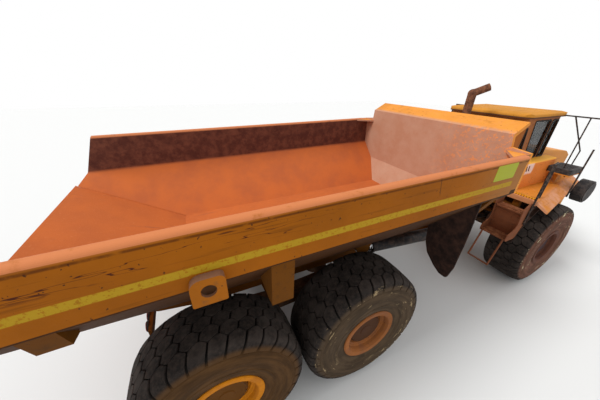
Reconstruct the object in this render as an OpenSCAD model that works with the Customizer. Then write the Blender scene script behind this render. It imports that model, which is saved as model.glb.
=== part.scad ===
// Articulated dump truck: rear frame with a tipping bed on two driven axles,
// a rolling and steering hitch, and a front unit with cab, hood and one axle.
// X runs forward, Y to the left, Z up, with the ground at zero. Millimetres.

/* [Wheelbase] */
// rear edge of the bed to the rear axle
tail_over = 1610; // [1500:10:1750]
// rear axle to middle axle
bogie_base = 1890; // [1860:10:2000]
// middle axle to front axle
wheelbase = 4711; // [4650:1:4800]
// front axle to the nose
front_over = 2389; // [2350:1:2500]

/* [Tyres and rims] */
// radius out to the tips of the tread blocks
tyre_r = 929; // [900:1:932]
// width over the side walls
tyre_w = 750; // [700:10:760]
// middle of a tyre to the middle of the truck
tyre_y = 1301; // [1295:1:1330]
// radius of the rim where the tyre sits
seat_r = 345; // [330:1:360]
// radius of the rim flange
flange_r = 408; // [390:1:420]
// radius of the wheel bore on its spindle
spindle_r = 80; // [70:1:90]

/* [Bed] */
// half the width over the bed's side panels
bed_hw = 1700; // [1660:10:1720]
// height of the bed's rim
rim_z = 3200; // [3150:10:3250]
// height of the bed's floor
floor_z = 1900; // [1890:10:1920]
// half the width of the flat floor
floor_hw = 930; // [910:10:950]
// height where the side slope meets the upright band
band_z = 2655; // [2640:5:2670]
// height of the side panels' lower edge
panel_z = 2715; // [2700:5:2730]
// slope of the rim, in degrees
rake = 0.5; // [0:0.1:0.6]
// plate thickness of the bed
bed_t = 45; // [40:1:55]
// height of the bed's tipping pins
tip_z = 1620; // [1600:5:1630]
// radius of the tipping pins
tip_r = 45; // [40:1:50]

/* [Frames] */
// outside of the frame rails to the middle
rail_y = 380; // [370:5:390]
// thickness of a frame rail
rail_t = 110; // [80:5:120]
// height of the rails' lower edge
rail_z0 = 1120; // [1110:5:1140]
// height of the rear rails' upper edge
rail_z1 = 1500; // [1450:10:1505]
// height of the rolling hitch's axis
roll_z = 1170; // [1160:5:1180]
// radius of the rolling hitch's shaft
roll_r = 130; // [110:5:140]
// radius of the steering hitch's pins
king_r = 70; // [55:5:80]

/* [Cab] */
// half the width of the cab
cab_hw = 750; // [740:5:755]
// height of the cab's floor
cab_z0 = 2110; // [2100:5:2130]
// height of the cab's roof
cab_z1 = 3540; // [3500:10:3560]

/* [Deck] */
// underside of the fender deck
deck_z = 2050; // [2045:1:2055]
// distance of the deck's outer edge from the middle, at its rear
deck_y = 1640; // [1620:5:1650]

/* [Hidden] */
$fn = 48;
half = (tail_over + bogie_base + wheelbase + front_over) / 2;
rear_x = -half + tail_over;
mid_x = rear_x + bogie_base;
front_x = mid_x + wheelbase;
// tread lugs: number on each side of the tread, length along the tread, half the angle that one takes
lug_count = 20;
lug_l = 185;
lug_a = asin(lug_l / 2 / tyre_r);
lug_r = tyre_r * cos(lug_a);
// the truck stands on the corners of its lugs
axle_z = tyre_r * cos(180 / lug_count - lug_a);
hitch_x = front_x - 1361;
gap = 0.05;
// a piece that only rests on its neighbour stays this far off it
seat = 0.2;
tip_x = mid_x - 2200;
bogie_x = mid_x - bogie_base / 2;
// hoist: pin on the frame, pin under the bed, in the plane of a cylinder
hoist_y = 780;
hoist_f = [mid_x + 2320, 1440];
hoist_b = [mid_x + 360, 1665];
hoist_l = norm(hoist_b - hoist_f);
hoist_a = atan2(hoist_b[1] - hoist_f[1], hoist_b[0] - hoist_f[0]);
// steering: pin on the front frame, eye beside the hitch
steer_z = 1220;
steer_f = [hitch_x + 1200, 560];
steer_b = [hitch_x, 320];
steer_l = norm(steer_b - steer_f);
steer_a = atan2(steer_f[1] - steer_b[1], steer_f[0] - steer_b[0]);
front_z1 = 1420;
// cab, door, hood and deck along the truck
cab_x0 = hitch_x + 550;
cab_x1 = hitch_x + 1800;
door_x0 = cab_x0 + 180;
door_x1 = cab_x0 + 1060;
sill_z = cab_z0 + 540;
window_z = cab_z1 - 150;
hood_hw = 620;
hood_x0 = cab_x1 + 40;
hood_x1 = front_x + front_over - 90;
hinge_x = front_x + front_over - 120;
hinge_z = 1520;
deck_x0 = hitch_x + 450;
deck_x1 = hitch_x + 3250;
deck_t = 50;
deck_slope = 0.1786;
// colours
yellow = [0.80, 0.52, 0.10];
rust = [0.42, 0.24, 0.13];
dark = [0.13, 0.12, 0.11];
steel = [0.62, 0.62, 0.62];
rubber = [0.12, 0.10, 0.09];
glass_c = [0.10, 0.13, 0.14, 0.35];
red = [0.55, 0.08, 0.05];

module bx(x0, x1, y0, y1, z0, z1) { translate([x0, y0, z0]) cube([x1 - x0, y1 - y0, z1 - z0]); }
module both() { children(); mirror([0, 1, 0]) children(); }
module cyl_y(x, z, r, y0, y1) { translate([x, y1, z]) rotate([90, 0, 0]) cylinder(r = r, h = y1 - y0); }
module cyl_x(y, z, r, x0, x1) { translate([x0, y, z]) rotate([0, 90, 0]) cylinder(r = r, h = x1 - x0); }
module cyl_z(x, y, r, z0, z1) { translate([x, y, z0]) cylinder(r = r, h = z1 - z0); }
// an outline whose corners are [x, y] or, where the third number is a radius, rounded
function unit(v) = v / norm(v);
function flat(p) = [p[0], p[1]];
function corner(a, b, c, r) = let (u = unit(a - b), v = unit(c - b), h = acos(u * v) / 2, m = b + unit(u + v)
  * r / sin(h),
  s = b + u * r / tan(h) - m, e = b + v * r / tan(h) - m, turn = sign(s[0] * e[1] - s[1] * e[0])
    * (180 - 2 * h),
  n = max(2, ceil(abs(turn) / 15)))
  [for (k = [0 : n]) m + [s[0] * cos(turn * k / n) - s[1] * sin(turn * k / n), s[0] * sin(turn * k / n)
    + s[1] * cos(turn * k / n)]];
function rounded(p) = [for (i = [0 : len(p) - 1]) each (len(p[i]) < 3 ? [p[i]] :
  corner(flat(p[(i + len(p) - 1) % len(p)]), flat(p[i]), flat(p[(i + 1) % len(p)]), p[i][2]))];
function box2(a0, a1, b0, b1, r) = [[a0, b0, r], [a1, b0, r], [a1, b1, r], [a0, b1, r]];
// a flat shape given in x and z, reaching from y0 to y1
module slab_y(p, y0, y1) { translate([0, y1, 0]) rotate([90, 0, 0]) linear_extrude(y1 - y0)
  polygon(rounded(p)); }
// a flat shape given in y and z, reaching from x0 to x1
module slab_x(p, x0, x1) { translate([x0, 0, 0]) rotate([90, 0, 90]) linear_extrude(x1 - x0)
  polygon(rounded(p)); }
// a flat shape given in x and y, reaching from z0 to z1
module slab_z(p, z0, z1) { translate([0, 0, z0]) linear_extrude(z1 - z0) polygon(rounded(p)); }
// a round bar between two points
module bar(a, b, r) {
  v = b - a;
  translate(a) rotate([0, acos(v[2] / norm(v)), atan2(v[1], v[0])]) cylinder(r = r, h = norm(v), $fn = 16);
}
// a bent bar through a list of points, with a slightly larger ball at each bend
module bars(p, r) {
  for (i = [0 : len(p) - 2]) bar(p[i], p[i + 1], r);
  for (i = [1 : len(p) - 2]) translate(p[i]) sphere(r = r + 1.5, $fn = 16);
}

// rear unit
module rear_frame() color(yellow) {
  both() difference() {
    union() {
      slab_y([[tip_x - 380, rail_z0 + 120, 60], [tip_x - 380, rail_z1], [mid_x + 2450, rail_z1],
        [mid_x + 2450, rail_z0 - 60], [mid_x + 2000, rail_z0 - 60, 200], [mid_x + 1700, rail_z0, 200],
          [rear_x, rail_z0, 300]],
        rail_y - rail_t, rail_y);
      // wider upper flange
      bx(tip_x - 380, mid_x + 2450, rail_y - rail_t - 15, rail_y + 15, rail_z1 - 25, rail_z1);
      // boss that holds the tipping pin
      cyl_y(tip_x, tip_z, 110, rail_y - rail_t, rail_y + 50);
      slab_y([[tip_x - 110, tip_z], [tip_x - 190, rail_z1 - 10], [tip_x + 190, rail_z1 - 10], [tip_x + 110,
        tip_z]],
        rail_y - rail_t, rail_y);
    }
    cyl_y(tip_x, tip_z, tip_r + gap, rail_y - rail_t - 30, rail_y + 60);
  }
  // cross members
  for (x = [tip_x - 340, mid_x - 1100, mid_x + 700, mid_x + 1500])
    bx(x, x + 160, -rail_y + rail_t - 5, rail_y - rail_t + 5, rail_z0 + 130, rail_z1 - 30);
  // tube of the rolling hitch, held between the rails
  difference() {
    union() {
      cyl_x(0, roll_z, 205, mid_x + 2050, mid_x + 2700);
      cyl_x(0, roll_z, 240, mid_x + 2640, mid_x + 2700);
      bx(mid_x + 2100, mid_x + 2160, -rail_y + rail_t - 5, rail_y - rail_t + 5, rail_z0 - 50, rail_z1 - 5);
      bx(mid_x + 2390, mid_x + 2450, -rail_y + 5, rail_y - 5, rail_z0 - 50, rail_z1 - 5);
    }
    cyl_x(0, roll_z, roll_r + gap, mid_x + 2000, mid_x + 2800);
  }
  // ears for the hoist cylinders
  both() difference() {
    union() {
      cyl_y(hoist_f[0], hoist_f[1], 80, rail_y - 20, hoist_y - 90);
      for (y = [hoist_y - 115, hoist_y + 85]) cyl_y(hoist_f[0], hoist_f[1], 85, y, y + 30);
      slab_y([[mid_x + 2380, rail_z0 + 40, 40], [mid_x + 2240, rail_z0 + 40, 40], [mid_x + 2236, 1440],
        [mid_x + 2404, 1440]],
        rail_y - 10, hoist_y + 115);
    }
    cyl_y(hoist_f[0], hoist_f[1], 45 + gap, hoist_y - 120, hoist_y + 120);
    bx(mid_x + 2100, mid_x + 2500, hoist_y - 85, hoist_y + 85, 1300, 1700);
  }
  // hangers of the bogie beams
  both() slab_y([[bogie_x - 190, rail_z0 + 5], [bogie_x - 110, 840, 60], [bogie_x + 110, 840, 60],
    [bogie_x + 190, rail_z0 + 5]],
    rail_y - rail_t, rail_y);
  cyl_y(bogie_x, 900, 85, -rail_y - 60, rail_y + 60);
  // rest pads for the bed
  both() for (x = [mid_x - 900, mid_x + 1200]) bx(x, x + 200, rail_y - rail_t, rail_y, rail_z1 - 5,
    rail_z1 + 20);
  // cross bar for the tail lamps
  bx(tip_x - 380, tip_x - 340, -820, 820, 1330, 1430);
}
module tail_lamps() color(red) both() for (y = [700, 560])
  translate([tip_x - 380 - seat, y, 1380]) rotate([0, -90, 0]) cylinder(r = 55, h = 35);

module axle(x) color(rust) {
  translate([x, 0, axle_z]) sphere(r = 235);
  both() {
    cyl_y(x, axle_z, 130, -1, 1000);
    cyl_y(x, axle_z, 105, 990, 1085);
    cyl_y(x, axle_z, spindle_r, 1000, tyre_y + 95);
    cyl_y(x, axle_z, 190, 880, 910);
  }
  translate([x, 0, axle_z]) rotate([0, 90, 0]) cylinder(r = 120, h = 620, center = true);
}
module mid_axle() axle(mid_x);
module rear_axle() axle(rear_x);
module front_axle() axle(front_x);

module bogie_beams() color(rust) both() {
  y = rail_y + 60;
  difference() {
    slab_y([[rear_x - 170, axle_z, 90], [rear_x - 100, 1070, 60], [rear_x + 150, 1080, 80], [bogie_x, 1015,
      300],
      [mid_x - 150, 1080, 80], [mid_x + 100, 1070, 60], [mid_x + 170, axle_z, 90], [mid_x + 80, 790, 60],
      [mid_x - 300, 780, 100], [bogie_x, 740, 300], [rear_x + 300, 780, 100], [rear_x - 80, 790, 60]], y,
        y + 170);
    cyl_y(mid_x, axle_z, 130, y - 10, y + 200);
    cyl_y(rear_x, axle_z, 130, y - 10, y + 200);
  }
}

module hitch() color(rust) {
  // shaft of the rolling joint
  cyl_x(0, roll_z, roll_r, mid_x + 2120, mid_x + 2760);
  cyl_x(0, roll_z, 205, mid_x + 2710, mid_x + 2800);
  slab_y([[mid_x + 2795, 930, 60], [hitch_x, 930], [hitch_x, 1410], [mid_x + 2795, 1410, 60]], -140, 140);
  cyl_z(hitch_x, 0, 140, 930, 1410);
  cyl_z(hitch_x, 0, king_r, 800, 1540);
  // ears beside the hitch for the steering rods
  both() for (z = [steer_z - 85, steer_z + 55]) {
    slab_z([[hitch_x - 130, 100], [hitch_x - 90, steer_b[1]], [hitch_x + 90, steer_b[1]], [hitch_x + 130,
      100]], z, z + 30);
    cyl_z(hitch_x, steer_b[1], 90, z, z + 30);
  }
}

// front unit
module front_frame() color(yellow) {
  both() slab_y([[hitch_x + 800, rail_z0], [front_x + 1900, rail_z0], [front_x + 2150, rail_z0 - 60],
    [front_x + 2150, front_z1],
    [hitch_x + 800, front_z1]], rail_y - rail_t, rail_y);
  difference() {
    for (z = [860, front_z1]) {
      slab_z([[hitch_x, -150], [hitch_x + 450, -150, 200], [hitch_x + 850, -rail_y, 200], [hitch_x + 1000,
        -rail_y],
        [hitch_x + 1000, rail_y], [hitch_x + 850, rail_y, 200], [hitch_x + 450, 150, 200], [hitch_x, 150]], z,
          z + 60);
      cyl_z(hitch_x, 0, 150, z, z + 60);
    }
    cyl_z(hitch_x, 0, king_r + gap, 700, 1700);
  }
  bx(hitch_x + 430, hitch_x + 520, -150, 150, 900, front_z1 + 10);
  bx(hitch_x + 800, hitch_x + 860, -rail_y, rail_y, 900, front_z1 + 10);
  for (x = [front_x + 420, front_x + 2070])
    bx(x, x + 80, -rail_y + rail_t - 5, rail_y - rail_t + 5, rail_z0 + 20, front_z1 - 20);
  // ears of the steering barrels
  both() difference() {
    for (z = [steer_z - 90, steer_z + 60]) {
      slab_z([[steer_f[0] - 120, rail_y - 10], [steer_f[0] - 70, steer_f[1]], [steer_f[0] + 70, steer_f[1]],
        [steer_f[0] + 70, rail_y - 10]], z, z + 30);
      cyl_z(steer_f[0], steer_f[1], 70, z, z + 30);
    }
    cyl_z(steer_f[0], steer_f[1], 30 + gap, steer_z - 200, steer_z + 200);
  }
  both() {
    // outriggers that carry the deck behind and ahead of the wheel
    bx(hitch_x + 510, hitch_x + 610, 130, rail_y, front_z1 + 50, 1860);
    bx(hitch_x + 510, hitch_x + 610, rail_y - 10, 1180, 1760, 1860);
    bx(hitch_x + 510, hitch_x + 610, 1080, 1180, 1850, deck_z - seat);
    slab_x([[rail_y - 10, front_z1 - 90], [760, front_z1 - 90, 80], [900, front_z1 + 90, 80], [900,
      deck_z - seat],
      [830, deck_z - seat], [830, front_z1 + 120, 60], [740, front_z1, 60], [rail_y - 10, front_z1]],
        front_x + 530, front_x + 630);
    // posts under the cab
    for (x = [hitch_x + 640, hitch_x + 1650]) bx(x, x + 100, rail_y - rail_t, rail_y, front_z1 - 10,
      cab_z0 - 60 - seat);
  }
}

module front_struts() color(dark) both() {
  cyl_z(front_x, rail_y + 130, 60, axle_z + 130 + seat, 1450);
  cyl_z(front_x, rail_y + 130, 85, 1300, 1760);
  bx(front_x - 70, front_x + 70, rail_y + seat, rail_y + 60, 1330, 1400);
}

// bed
module raked() { translate([mid_x, 0, rim_z]) rotate([0, -rake, 0]) translate([-mid_x, 0, -rim_z]) children(); }
inner_hw = bed_hw - 105;

module bed_floor() color(rust) raked() {
  bx(mid_x - 2090, mid_x + 2000 - seat, -floor_hw + seat, floor_hw - seat, floor_z - bed_t, floor_z);
  // ramp up to the tail edge, between the side slopes
  intersection() {
    slab_y([[mid_x - 2060, floor_z], [-half - 6, 2500], [-half - 6, 2500 - bed_t - 15], [mid_x - 2070,
      floor_z - bed_t]],
      -bed_hw, bed_hw);
    slab_x([[-floor_hw + seat, 1800], [floor_hw - seat, 1800], [floor_hw - seat, floor_z + 1], [inner_hw - 1,
      band_z],
      [inner_hw - 1, rim_z], [-inner_hw + 1, rim_z], [-inner_hw + 1, band_z], [-floor_hw + seat,
        floor_z + 1]], -half - 50, mid_x);
  }
}

// the side's section: a box rim, an upright band, a slope, from the outer edge inwards
side = [[bed_hw, rim_z, 40], [inner_hw, rim_z, 40], [inner_hw, band_z, 30], [floor_hw, floor_z], [floor_hw,
  floor_z - bed_t],
  [floor_hw + 30, floor_z - bed_t], [bed_hw - 60, band_z - 10], [bed_hw - 50, panel_z], [bed_hw, panel_z]];
module bed_sides() color(yellow) raked() both() difference() {
  intersection() {
    slab_x(side, -half - 100, mid_x + 2300);
    slab_y([[-half + 390, rim_z + 60], [mid_x + 2173.5, rim_z + 60], [mid_x + 2199.6, 2330], [mid_x + 1999.6,
      floor_z],
      [mid_x + 1999.6, 1800], [mid_x - 2059.5, 1800], [mid_x - 2059.5, floor_z + 0.3], [-half + 20, 2490],
        [-half + 160, 2640]],
      -10, bed_hw + 10);
  }
  // the panel ends short of the headboard, on a slant
  slab_y([[mid_x + 2080, rim_z + 80], [mid_x + 1880, panel_z - 60], [mid_x + 2300, panel_z - 60],
    [mid_x + 2300, rim_z + 80]],
    inner_hw + 45, bed_hw + 10);
}

// the headboard's section: foot, plate and the lip that leans over the cab
head = [[mid_x + 2000, floor_z], [mid_x + 2200, floor_z + 430], [mid_x + 2170, rim_z + 200], [mid_x + 2450,
  rim_z + 340],
  [mid_x + 2475, rim_z + 300], [mid_x + 2225, rim_z + 160], [mid_x + 2245, floor_z + 420], [mid_x + 2045,
    floor_z - bed_t],
  [mid_x + 2000, floor_z - bed_t]];
lip_hw = 1380;
module headboard() color(yellow) raked() {
  intersection() {
    slab_y(head, -bed_hw, bed_hw);
    slab_x([[-inner_hw - 45, rim_z], [-lip_hw - 20, rim_z + 30], [-lip_hw, rim_z + 180], [-lip_hw, rim_z + 500],
      [lip_hw, rim_z + 500], [lip_hw, rim_z + 180],
      [lip_hw + 20, rim_z + 30], [inner_hw + 45, rim_z], [inner_hw + 45, band_z], [floor_hw + 30,
        floor_z - bed_t],
      [-floor_hw - 30, floor_z - bed_t], [-inner_hw - 45, band_z]], 0, mid_x + 2600);
  }
  // flat gussets between the rim and the headboard
  both() slab_z([[mid_x + 1880, inner_hw - seat], [mid_x + 2180, inner_hw - seat], [mid_x + 2180,
    lip_hw - 20]], rim_z - 50, rim_z - 15);
  // upright ribs on its front
  for (y = [-900, -300, 300, 900]) slab_y([[mid_x + 2235, rim_z + 100], [mid_x + 2310, rim_z + 50],
    [mid_x + 2330, floor_z + 500],
    [mid_x + 2238, floor_z + 430]], y - 30, y + 30);
}

// height of the floor's underside at a place along the bed
function under(x) = floor_z - bed_t + (x - mid_x) * tan(rake) - 0.4;
function slope_y(z) = floor_hw + 30 + (z - floor_z + bed_t) * (bed_hw - 90 - floor_hw)
  / (band_z - 10 - floor_z + bed_t);
// outriggers under the side slopes: start, width, foot, distance of the foot's outer edge from the bed's
// outside
rib_rows = [[-2920, 190, 2430, 130], [-1345, 215, 2130, 100], [1700, 150, 2250, 250]];
module bed_ribs() color(yellow) both() {
  // beams on which the bed rests
  slab_y([[mid_x - 2020, rail_z1 + 25], [mid_x + 1980, rail_z1 + 25], [mid_x + 1980, under(mid_x + 1980)],
    [mid_x - 2020, under(mid_x - 2020)]], rail_y - rail_t + 10, rail_y - 10);
  // ears and pins of the tipping hinge
  slab_y([[tip_x - 120, 1660, 60], [tip_x - 60, 1530, 50], [tip_x + 60, 1530, 50], [tip_x + 120, 1660, 60],
    [tip_x + 200, under(tip_x + 200)], [tip_x - 90, under(tip_x - 90)]], rail_y + 60, rail_y + 110);
  cyl_y(tip_x, tip_z, 95, rail_y + 60, rail_y + 115);
  cyl_y(tip_x, tip_z, tip_r, rail_y - rail_t, rail_y + 80);
  // ears of the hoist rods
  for (y = [hoist_y - 110, hoist_y + 80])
    slab_y([[hoist_b[0] - 170, under(hoist_b[0] - 170)], [hoist_b[0] - 70, hoist_b[1] - 75, 60],
      [hoist_b[0] + 70, hoist_b[1] - 75, 60], [hoist_b[0] + 170, under(hoist_b[0] + 170)]], y, y + 30);
  raked() for (r = rib_rows)
    slab_x([[bed_hw - 62, band_z - 12.7], [bed_hw - r[3], r[2]], [bed_hw - r[3] - 110, r[2] - 20],
      [slope_y(r[2]), r[2] - 0.5]],
      mid_x + r[0], mid_x + r[0] + r[1]);
}
// tie eyes on curved brackets that stand off the side panels
tie_x = mid_x - 1835;
tie_z = 2700;
tie_r = 55;
tie_off = 40;
function tie_form(c) = [[tie_x - 122 + c, 2575 + c, 15], [tie_x + 122 - c, 2575 + c, 15], [tie_x + 122 - c,
  2815 - c, 50],
  [tie_x - 122 + c, 2815 - c, 80 - c]];
module tie_eyes() color(yellow) both() {
  difference() {
    slab_y(tie_form(0), bed_hw + tie_off, bed_hw + tie_off + 24);
    cyl_y(tie_x, tie_z, tie_r, bed_hw, bed_hw + 100);
  }
  difference() {
    slab_y(tie_form(0), bed_hw + seat, bed_hw + tie_off);
    slab_y(tie_form(16), bed_hw - 10, bed_hw + tie_off + 10);
    bx(tie_x - 200, tie_x + 200, bed_hw - 10, bed_hw + tie_off + 10, 2500, 2700);
  }
}

function slope_z(y) = floor_z - bed_t - 0.3 + (y - floor_hw - 30) * (band_z - 10 - floor_z + bed_t)
  / (bed_hw - 90 - floor_hw);
module mudflaps() color(rubber) raked() both() slab_x([[1000, 1850], [1030, 1600, 100], [1110, 1420, 100],
  [1280, 1270, 100],
  [1400, 1200, 60], [1530, 1200, 60], [1580, 1440, 200], [1600, 1950, 200], [1600, slope_z(1600)], [1000,
    slope_z(1000)]],
  mid_x + 1560, mid_x + 1580);

// hoist: two equal telescopic cylinders, each section from its start to its end along the axis
module hoist_part() both() translate([hoist_f[0], hoist_y, hoist_f[1]]) rotate([0, -hoist_a, 0]) children();
module hoist_tube(r, hole, from, to, wall) rotate([0, 90, 0]) difference() {
  translate([0, 0, from]) cylinder(r = r, h = to - from);
  translate([0, 0, from + wall]) cylinder(r = hole + gap, h = to);
}
module hoist_barrels() color(dark) hoist_part() {
  rotate([90, 0, 0]) cylinder(r = 75, h = 150, center = true);
  rotate([90, 0, 0]) cylinder(r = 45, h = 230, center = true);
  rotate([0, 90, 0]) translate([0, 0, 60]) cylinder(r = 60, h = 80);
  hoist_tube(110, 95, 130, hoist_l - 215, 40);
  difference() {
    for (s = [130, hoist_l - 255]) rotate([0, 90, 0]) translate([0, 0, s]) cylinder(r = 119, h = 40);
    rotate([0, 90, 0]) translate([0, 0, 170]) cylinder(r = 100, h = hoist_l);
  }
}
module hoist_sleeves() color(steel) hoist_part() hoist_tube(95, 78, 175, hoist_l - 190, 35);
module hoist_inner_sleeves() color(steel) hoist_part() hoist_tube(78, 62, 215, hoist_l - 165, 35);
module hoist_rods() color(steel) hoist_part() {
  rotate([0, 90, 0]) translate([0, 0, 255]) cylinder(r = 62, h = hoist_l - 305);
  translate([hoist_l, 0, 0]) rotate([90, 0, 0]) cylinder(r = 70, h = 140, center = true);
}

// steering cylinders
module steer_part() translate([steer_f[0], steer_f[1], steer_z]) rotate([0, 0, 180 + steer_a]) children();
module steer_barrel() color(dark) steer_part() {
  cylinder(r = 60, h = 90, center = true);
  cylinder(r = 30, h = 200, center = true);
  rotate([0, 90, 0]) difference() {
    translate([0, 0, 40]) cylinder(r = 58, h = 700);
    translate([0, 0, 80]) cylinder(r = 32 + gap, h = 900);
  }
}
module steer_rod() color(steel) steer_part() {
  rotate([0, 90, 0]) translate([0, 0, 360]) cylinder(r = 32, h = steer_l - 390);
  translate([steer_l, 0, 0]) cylinder(r = 55, h = 100, center = true);
}
module steer_barrel_left() steer_barrel();
module steer_rod_left() steer_rod();
module steer_barrel_right() mirror([0, 1, 0]) steer_barrel();
module steer_rod_right() mirror([0, 1, 0]) steer_rod();

// wheels: made at the origin with the outer side towards +Y
tyre_half = [[seat_r, 330], [flange_r + 2, 330], [flange_r + 4, 334], [480, 356], [560, 371], [640,
  tyre_w / 2], [730, 371],
  [800, 352], [850, 335], [880, 290], [888, 200], [891, 0]];
// a lug's outline: distance from the middle of the tread, radius
lug = [[12, 860], [12, lug_r - 2], [150, lug_r], [250, lug_r - 10], [308, lug_r - 36], [352, 820], [345, 790],
  [280, 840]];
module lugs(turn) for (i = [0 : lug_count - 1]) rotate((i + turn) * 360 / lug_count) rotate([90, 0, 0])
  linear_extrude(lug_l, center = true) polygon([for (p = lug) [p[1], p[0]]]);
module tyre() color(rubber) rotate([90, 0, 0]) {
  rotate_extrude() polygon(concat(tyre_half, [for (i = [len(tyre_half) - 2 : -1 : 0]) [tyre_half[i][0],
    -tyre_half[i][1]]]));
  lugs(0);
  mirror([0, 0, 1]) lugs(0.5);
}
// a rim's outline: radius, distance outwards from the middle
rim_form = [[0, 280], [84, 280], [94, 272], [224, 266], [238, 256], [244, 222], [256, 214], [270, 222], [276,
  244], [292, 250],
  [300, 264], [314, 270], [320, 312], [336, 345], [flange_r - 14, 352], [flange_r, 342], [flange_r - 2,
    330 + 0.3],
  [seat_r - seat, 330 + 0.3], [seat_r - seat, -330.3], [flange_r - 2, -330.3], [flange_r, -340],
    [flange_r - 12, -351],
  [325, -345], [315, 70], [215, 60], [210, -200], [0, -200]];
module rim() color(yellow) rotate([-90, 0, 0]) difference() {
  rotate_extrude() polygon(rim_form);
  translate([0, 0, -210]) cylinder(r = spindle_r + gap, h = 310);
}
module place_right(x) translate([x, -tyre_y, axle_z]) mirror([0, 1, 0]) children();
module place_left(x) translate([x, tyre_y, axle_z]) children();
module tyre_fr() place_right(front_x) tyre();
module tyre_fl() place_left(front_x) tyre();
module tyre_mr() place_right(mid_x) tyre();
module tyre_ml() place_left(mid_x) tyre();
module tyre_rr() place_right(rear_x) tyre();
module tyre_rl() place_left(rear_x) tyre();
module rim_fr() place_right(front_x) rim();
module rim_fl() place_left(front_x) rim();
module rim_mr() place_right(mid_x) rim();
module rim_ml() place_left(mid_x) rim();
module rim_rr() place_right(rear_x) rim();
module rim_rl() place_left(rear_x) rim();

// cab and its pieces
// panes of the right side: a narrow one, a slanted pillar, the main one and the quarter window
right_panes = [[[cab_x0 + 80, sill_z, 15], [cab_x0 + 250, sill_z, 15], [cab_x0 + 112, window_z - 120, 15],
  [cab_x0 + 80, window_z - 120, 15]],
  [[cab_x0 + 450, sill_z, 40], [cab_x0 + 880, sill_z, 40], [cab_x0 + 880, window_z, 40], [cab_x0 + 300,
    window_z, 40]],
  box2(cab_x0 + 940, cab_x1 - 80, sill_z, window_z, 40)];
module cab() color(rust) {
  bx(cab_x0 + 30, cab_x1 - 30, -cab_hw + 30, cab_hw - 30, cab_z0 - 60, cab_z0);
  difference() {
    slab_z(box2(cab_x0, cab_x1, -cab_hw, cab_hw, 70), cab_z0 - 50, cab_z1 - 90);
    slab_z(box2(cab_x0 + 45, cab_x1 - 45, -cab_hw + 45, cab_hw - 45, 30), cab_z0 - 60, cab_z1);
    // rear and front windows, then the windows of the right side and the quarter window of the left
    slab_x(box2(-cab_hw + 110, cab_hw - 110, sill_z, window_z, 40), cab_x0 - 10, cab_x0 + 60);
    slab_x(box2(-cab_hw + 90, cab_hw - 90, sill_z - 60, window_z, 40), cab_x1 - 60, cab_x1 + 10);
    for (pane = right_panes) slab_y(pane, -cab_hw - 10, -cab_hw + 60);
    slab_y(box2(door_x1 + 50, cab_x1 - 70, sill_z, window_z, 20), cab_hw - 60, cab_hw + 10);
    // door opening
    bx(door_x0, door_x1, cab_hw - 60, cab_hw + 10, cab_z0 + 30, window_z);
  }
  // knuckles and pins of the door hinges
  for (z = [cab_z0 + 200, cab_z1 - 560]) {
    for (k = [z - 80, z + 120 + seat]) {
      cyl_z(door_x1 + 10, cab_hw + 16, 15, k, k + 80 - seat);
      bx(door_x1 + 10, door_x1 + 45, cab_hw - 5, cab_hw + 16, k, k + 80 - seat);
    }
    cyl_z(door_x1 + 10, cab_hw + 16, 8, z - 20, z + 140);
  }
}
module cab_roof() color(yellow) intersection() {
  slab_y([[cab_x0 - 70, cab_z1 - 90 + seat], [cab_x0 - 70, cab_z1 - 20, 40], [cab_x0 + 60, cab_z1 + 10, 200],
    [cab_x1 - 40, cab_z1 + 10, 200],
    [cab_x1 + 130, cab_z1 - 40, 30], [cab_x1 + 130, cab_z1 - 90 + seat]], -cab_hw - 60, cab_hw + 60);
  slab_z([[cab_x0 - 70, -cab_hw - 50, 130], [cab_x1 + 60, -cab_hw - 50, 130], [cab_x1 + 130, -cab_hw + 120,
    130],
    [cab_x1 + 130, cab_hw - 120, 130], [cab_x1 + 60, cab_hw + 50, 130], [cab_x0 - 70, cab_hw + 50, 130]],
      cab_z1 - 100, cab_z1 + 50);
  slab_x([[-cab_hw - 50, cab_z1 - 100], [cab_hw + 50, cab_z1 - 100], [cab_hw + 50, cab_z1 - 20, 30],
    [cab_hw - 100, cab_z1 + 30, 200],
    [-cab_hw + 100, cab_z1 + 30, 200], [-cab_hw - 50, cab_z1 - 20, 30]], cab_x0 - 100, cab_x1 + 200);
}
module cab_glass() color(glass_c) {
  slab_x(box2(-cab_hw + 110, cab_hw - 110, sill_z, window_z, 40), cab_x0 + 20, cab_x0 + 28);
  slab_x(box2(-cab_hw + 90, cab_hw - 90, sill_z - 60, window_z, 40), cab_x1 - 28, cab_x1 - 20);
  for (pane = right_panes) slab_y(pane, -cab_hw + 20, -cab_hw + 28);
  slab_y(box2(door_x1 + 50, cab_x1 - 70, sill_z, window_z, 20), cab_hw - 28, cab_hw - 20);
}
wheel_at = [cab_x1 - 430, 0, cab_z0 + 720];
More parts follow.
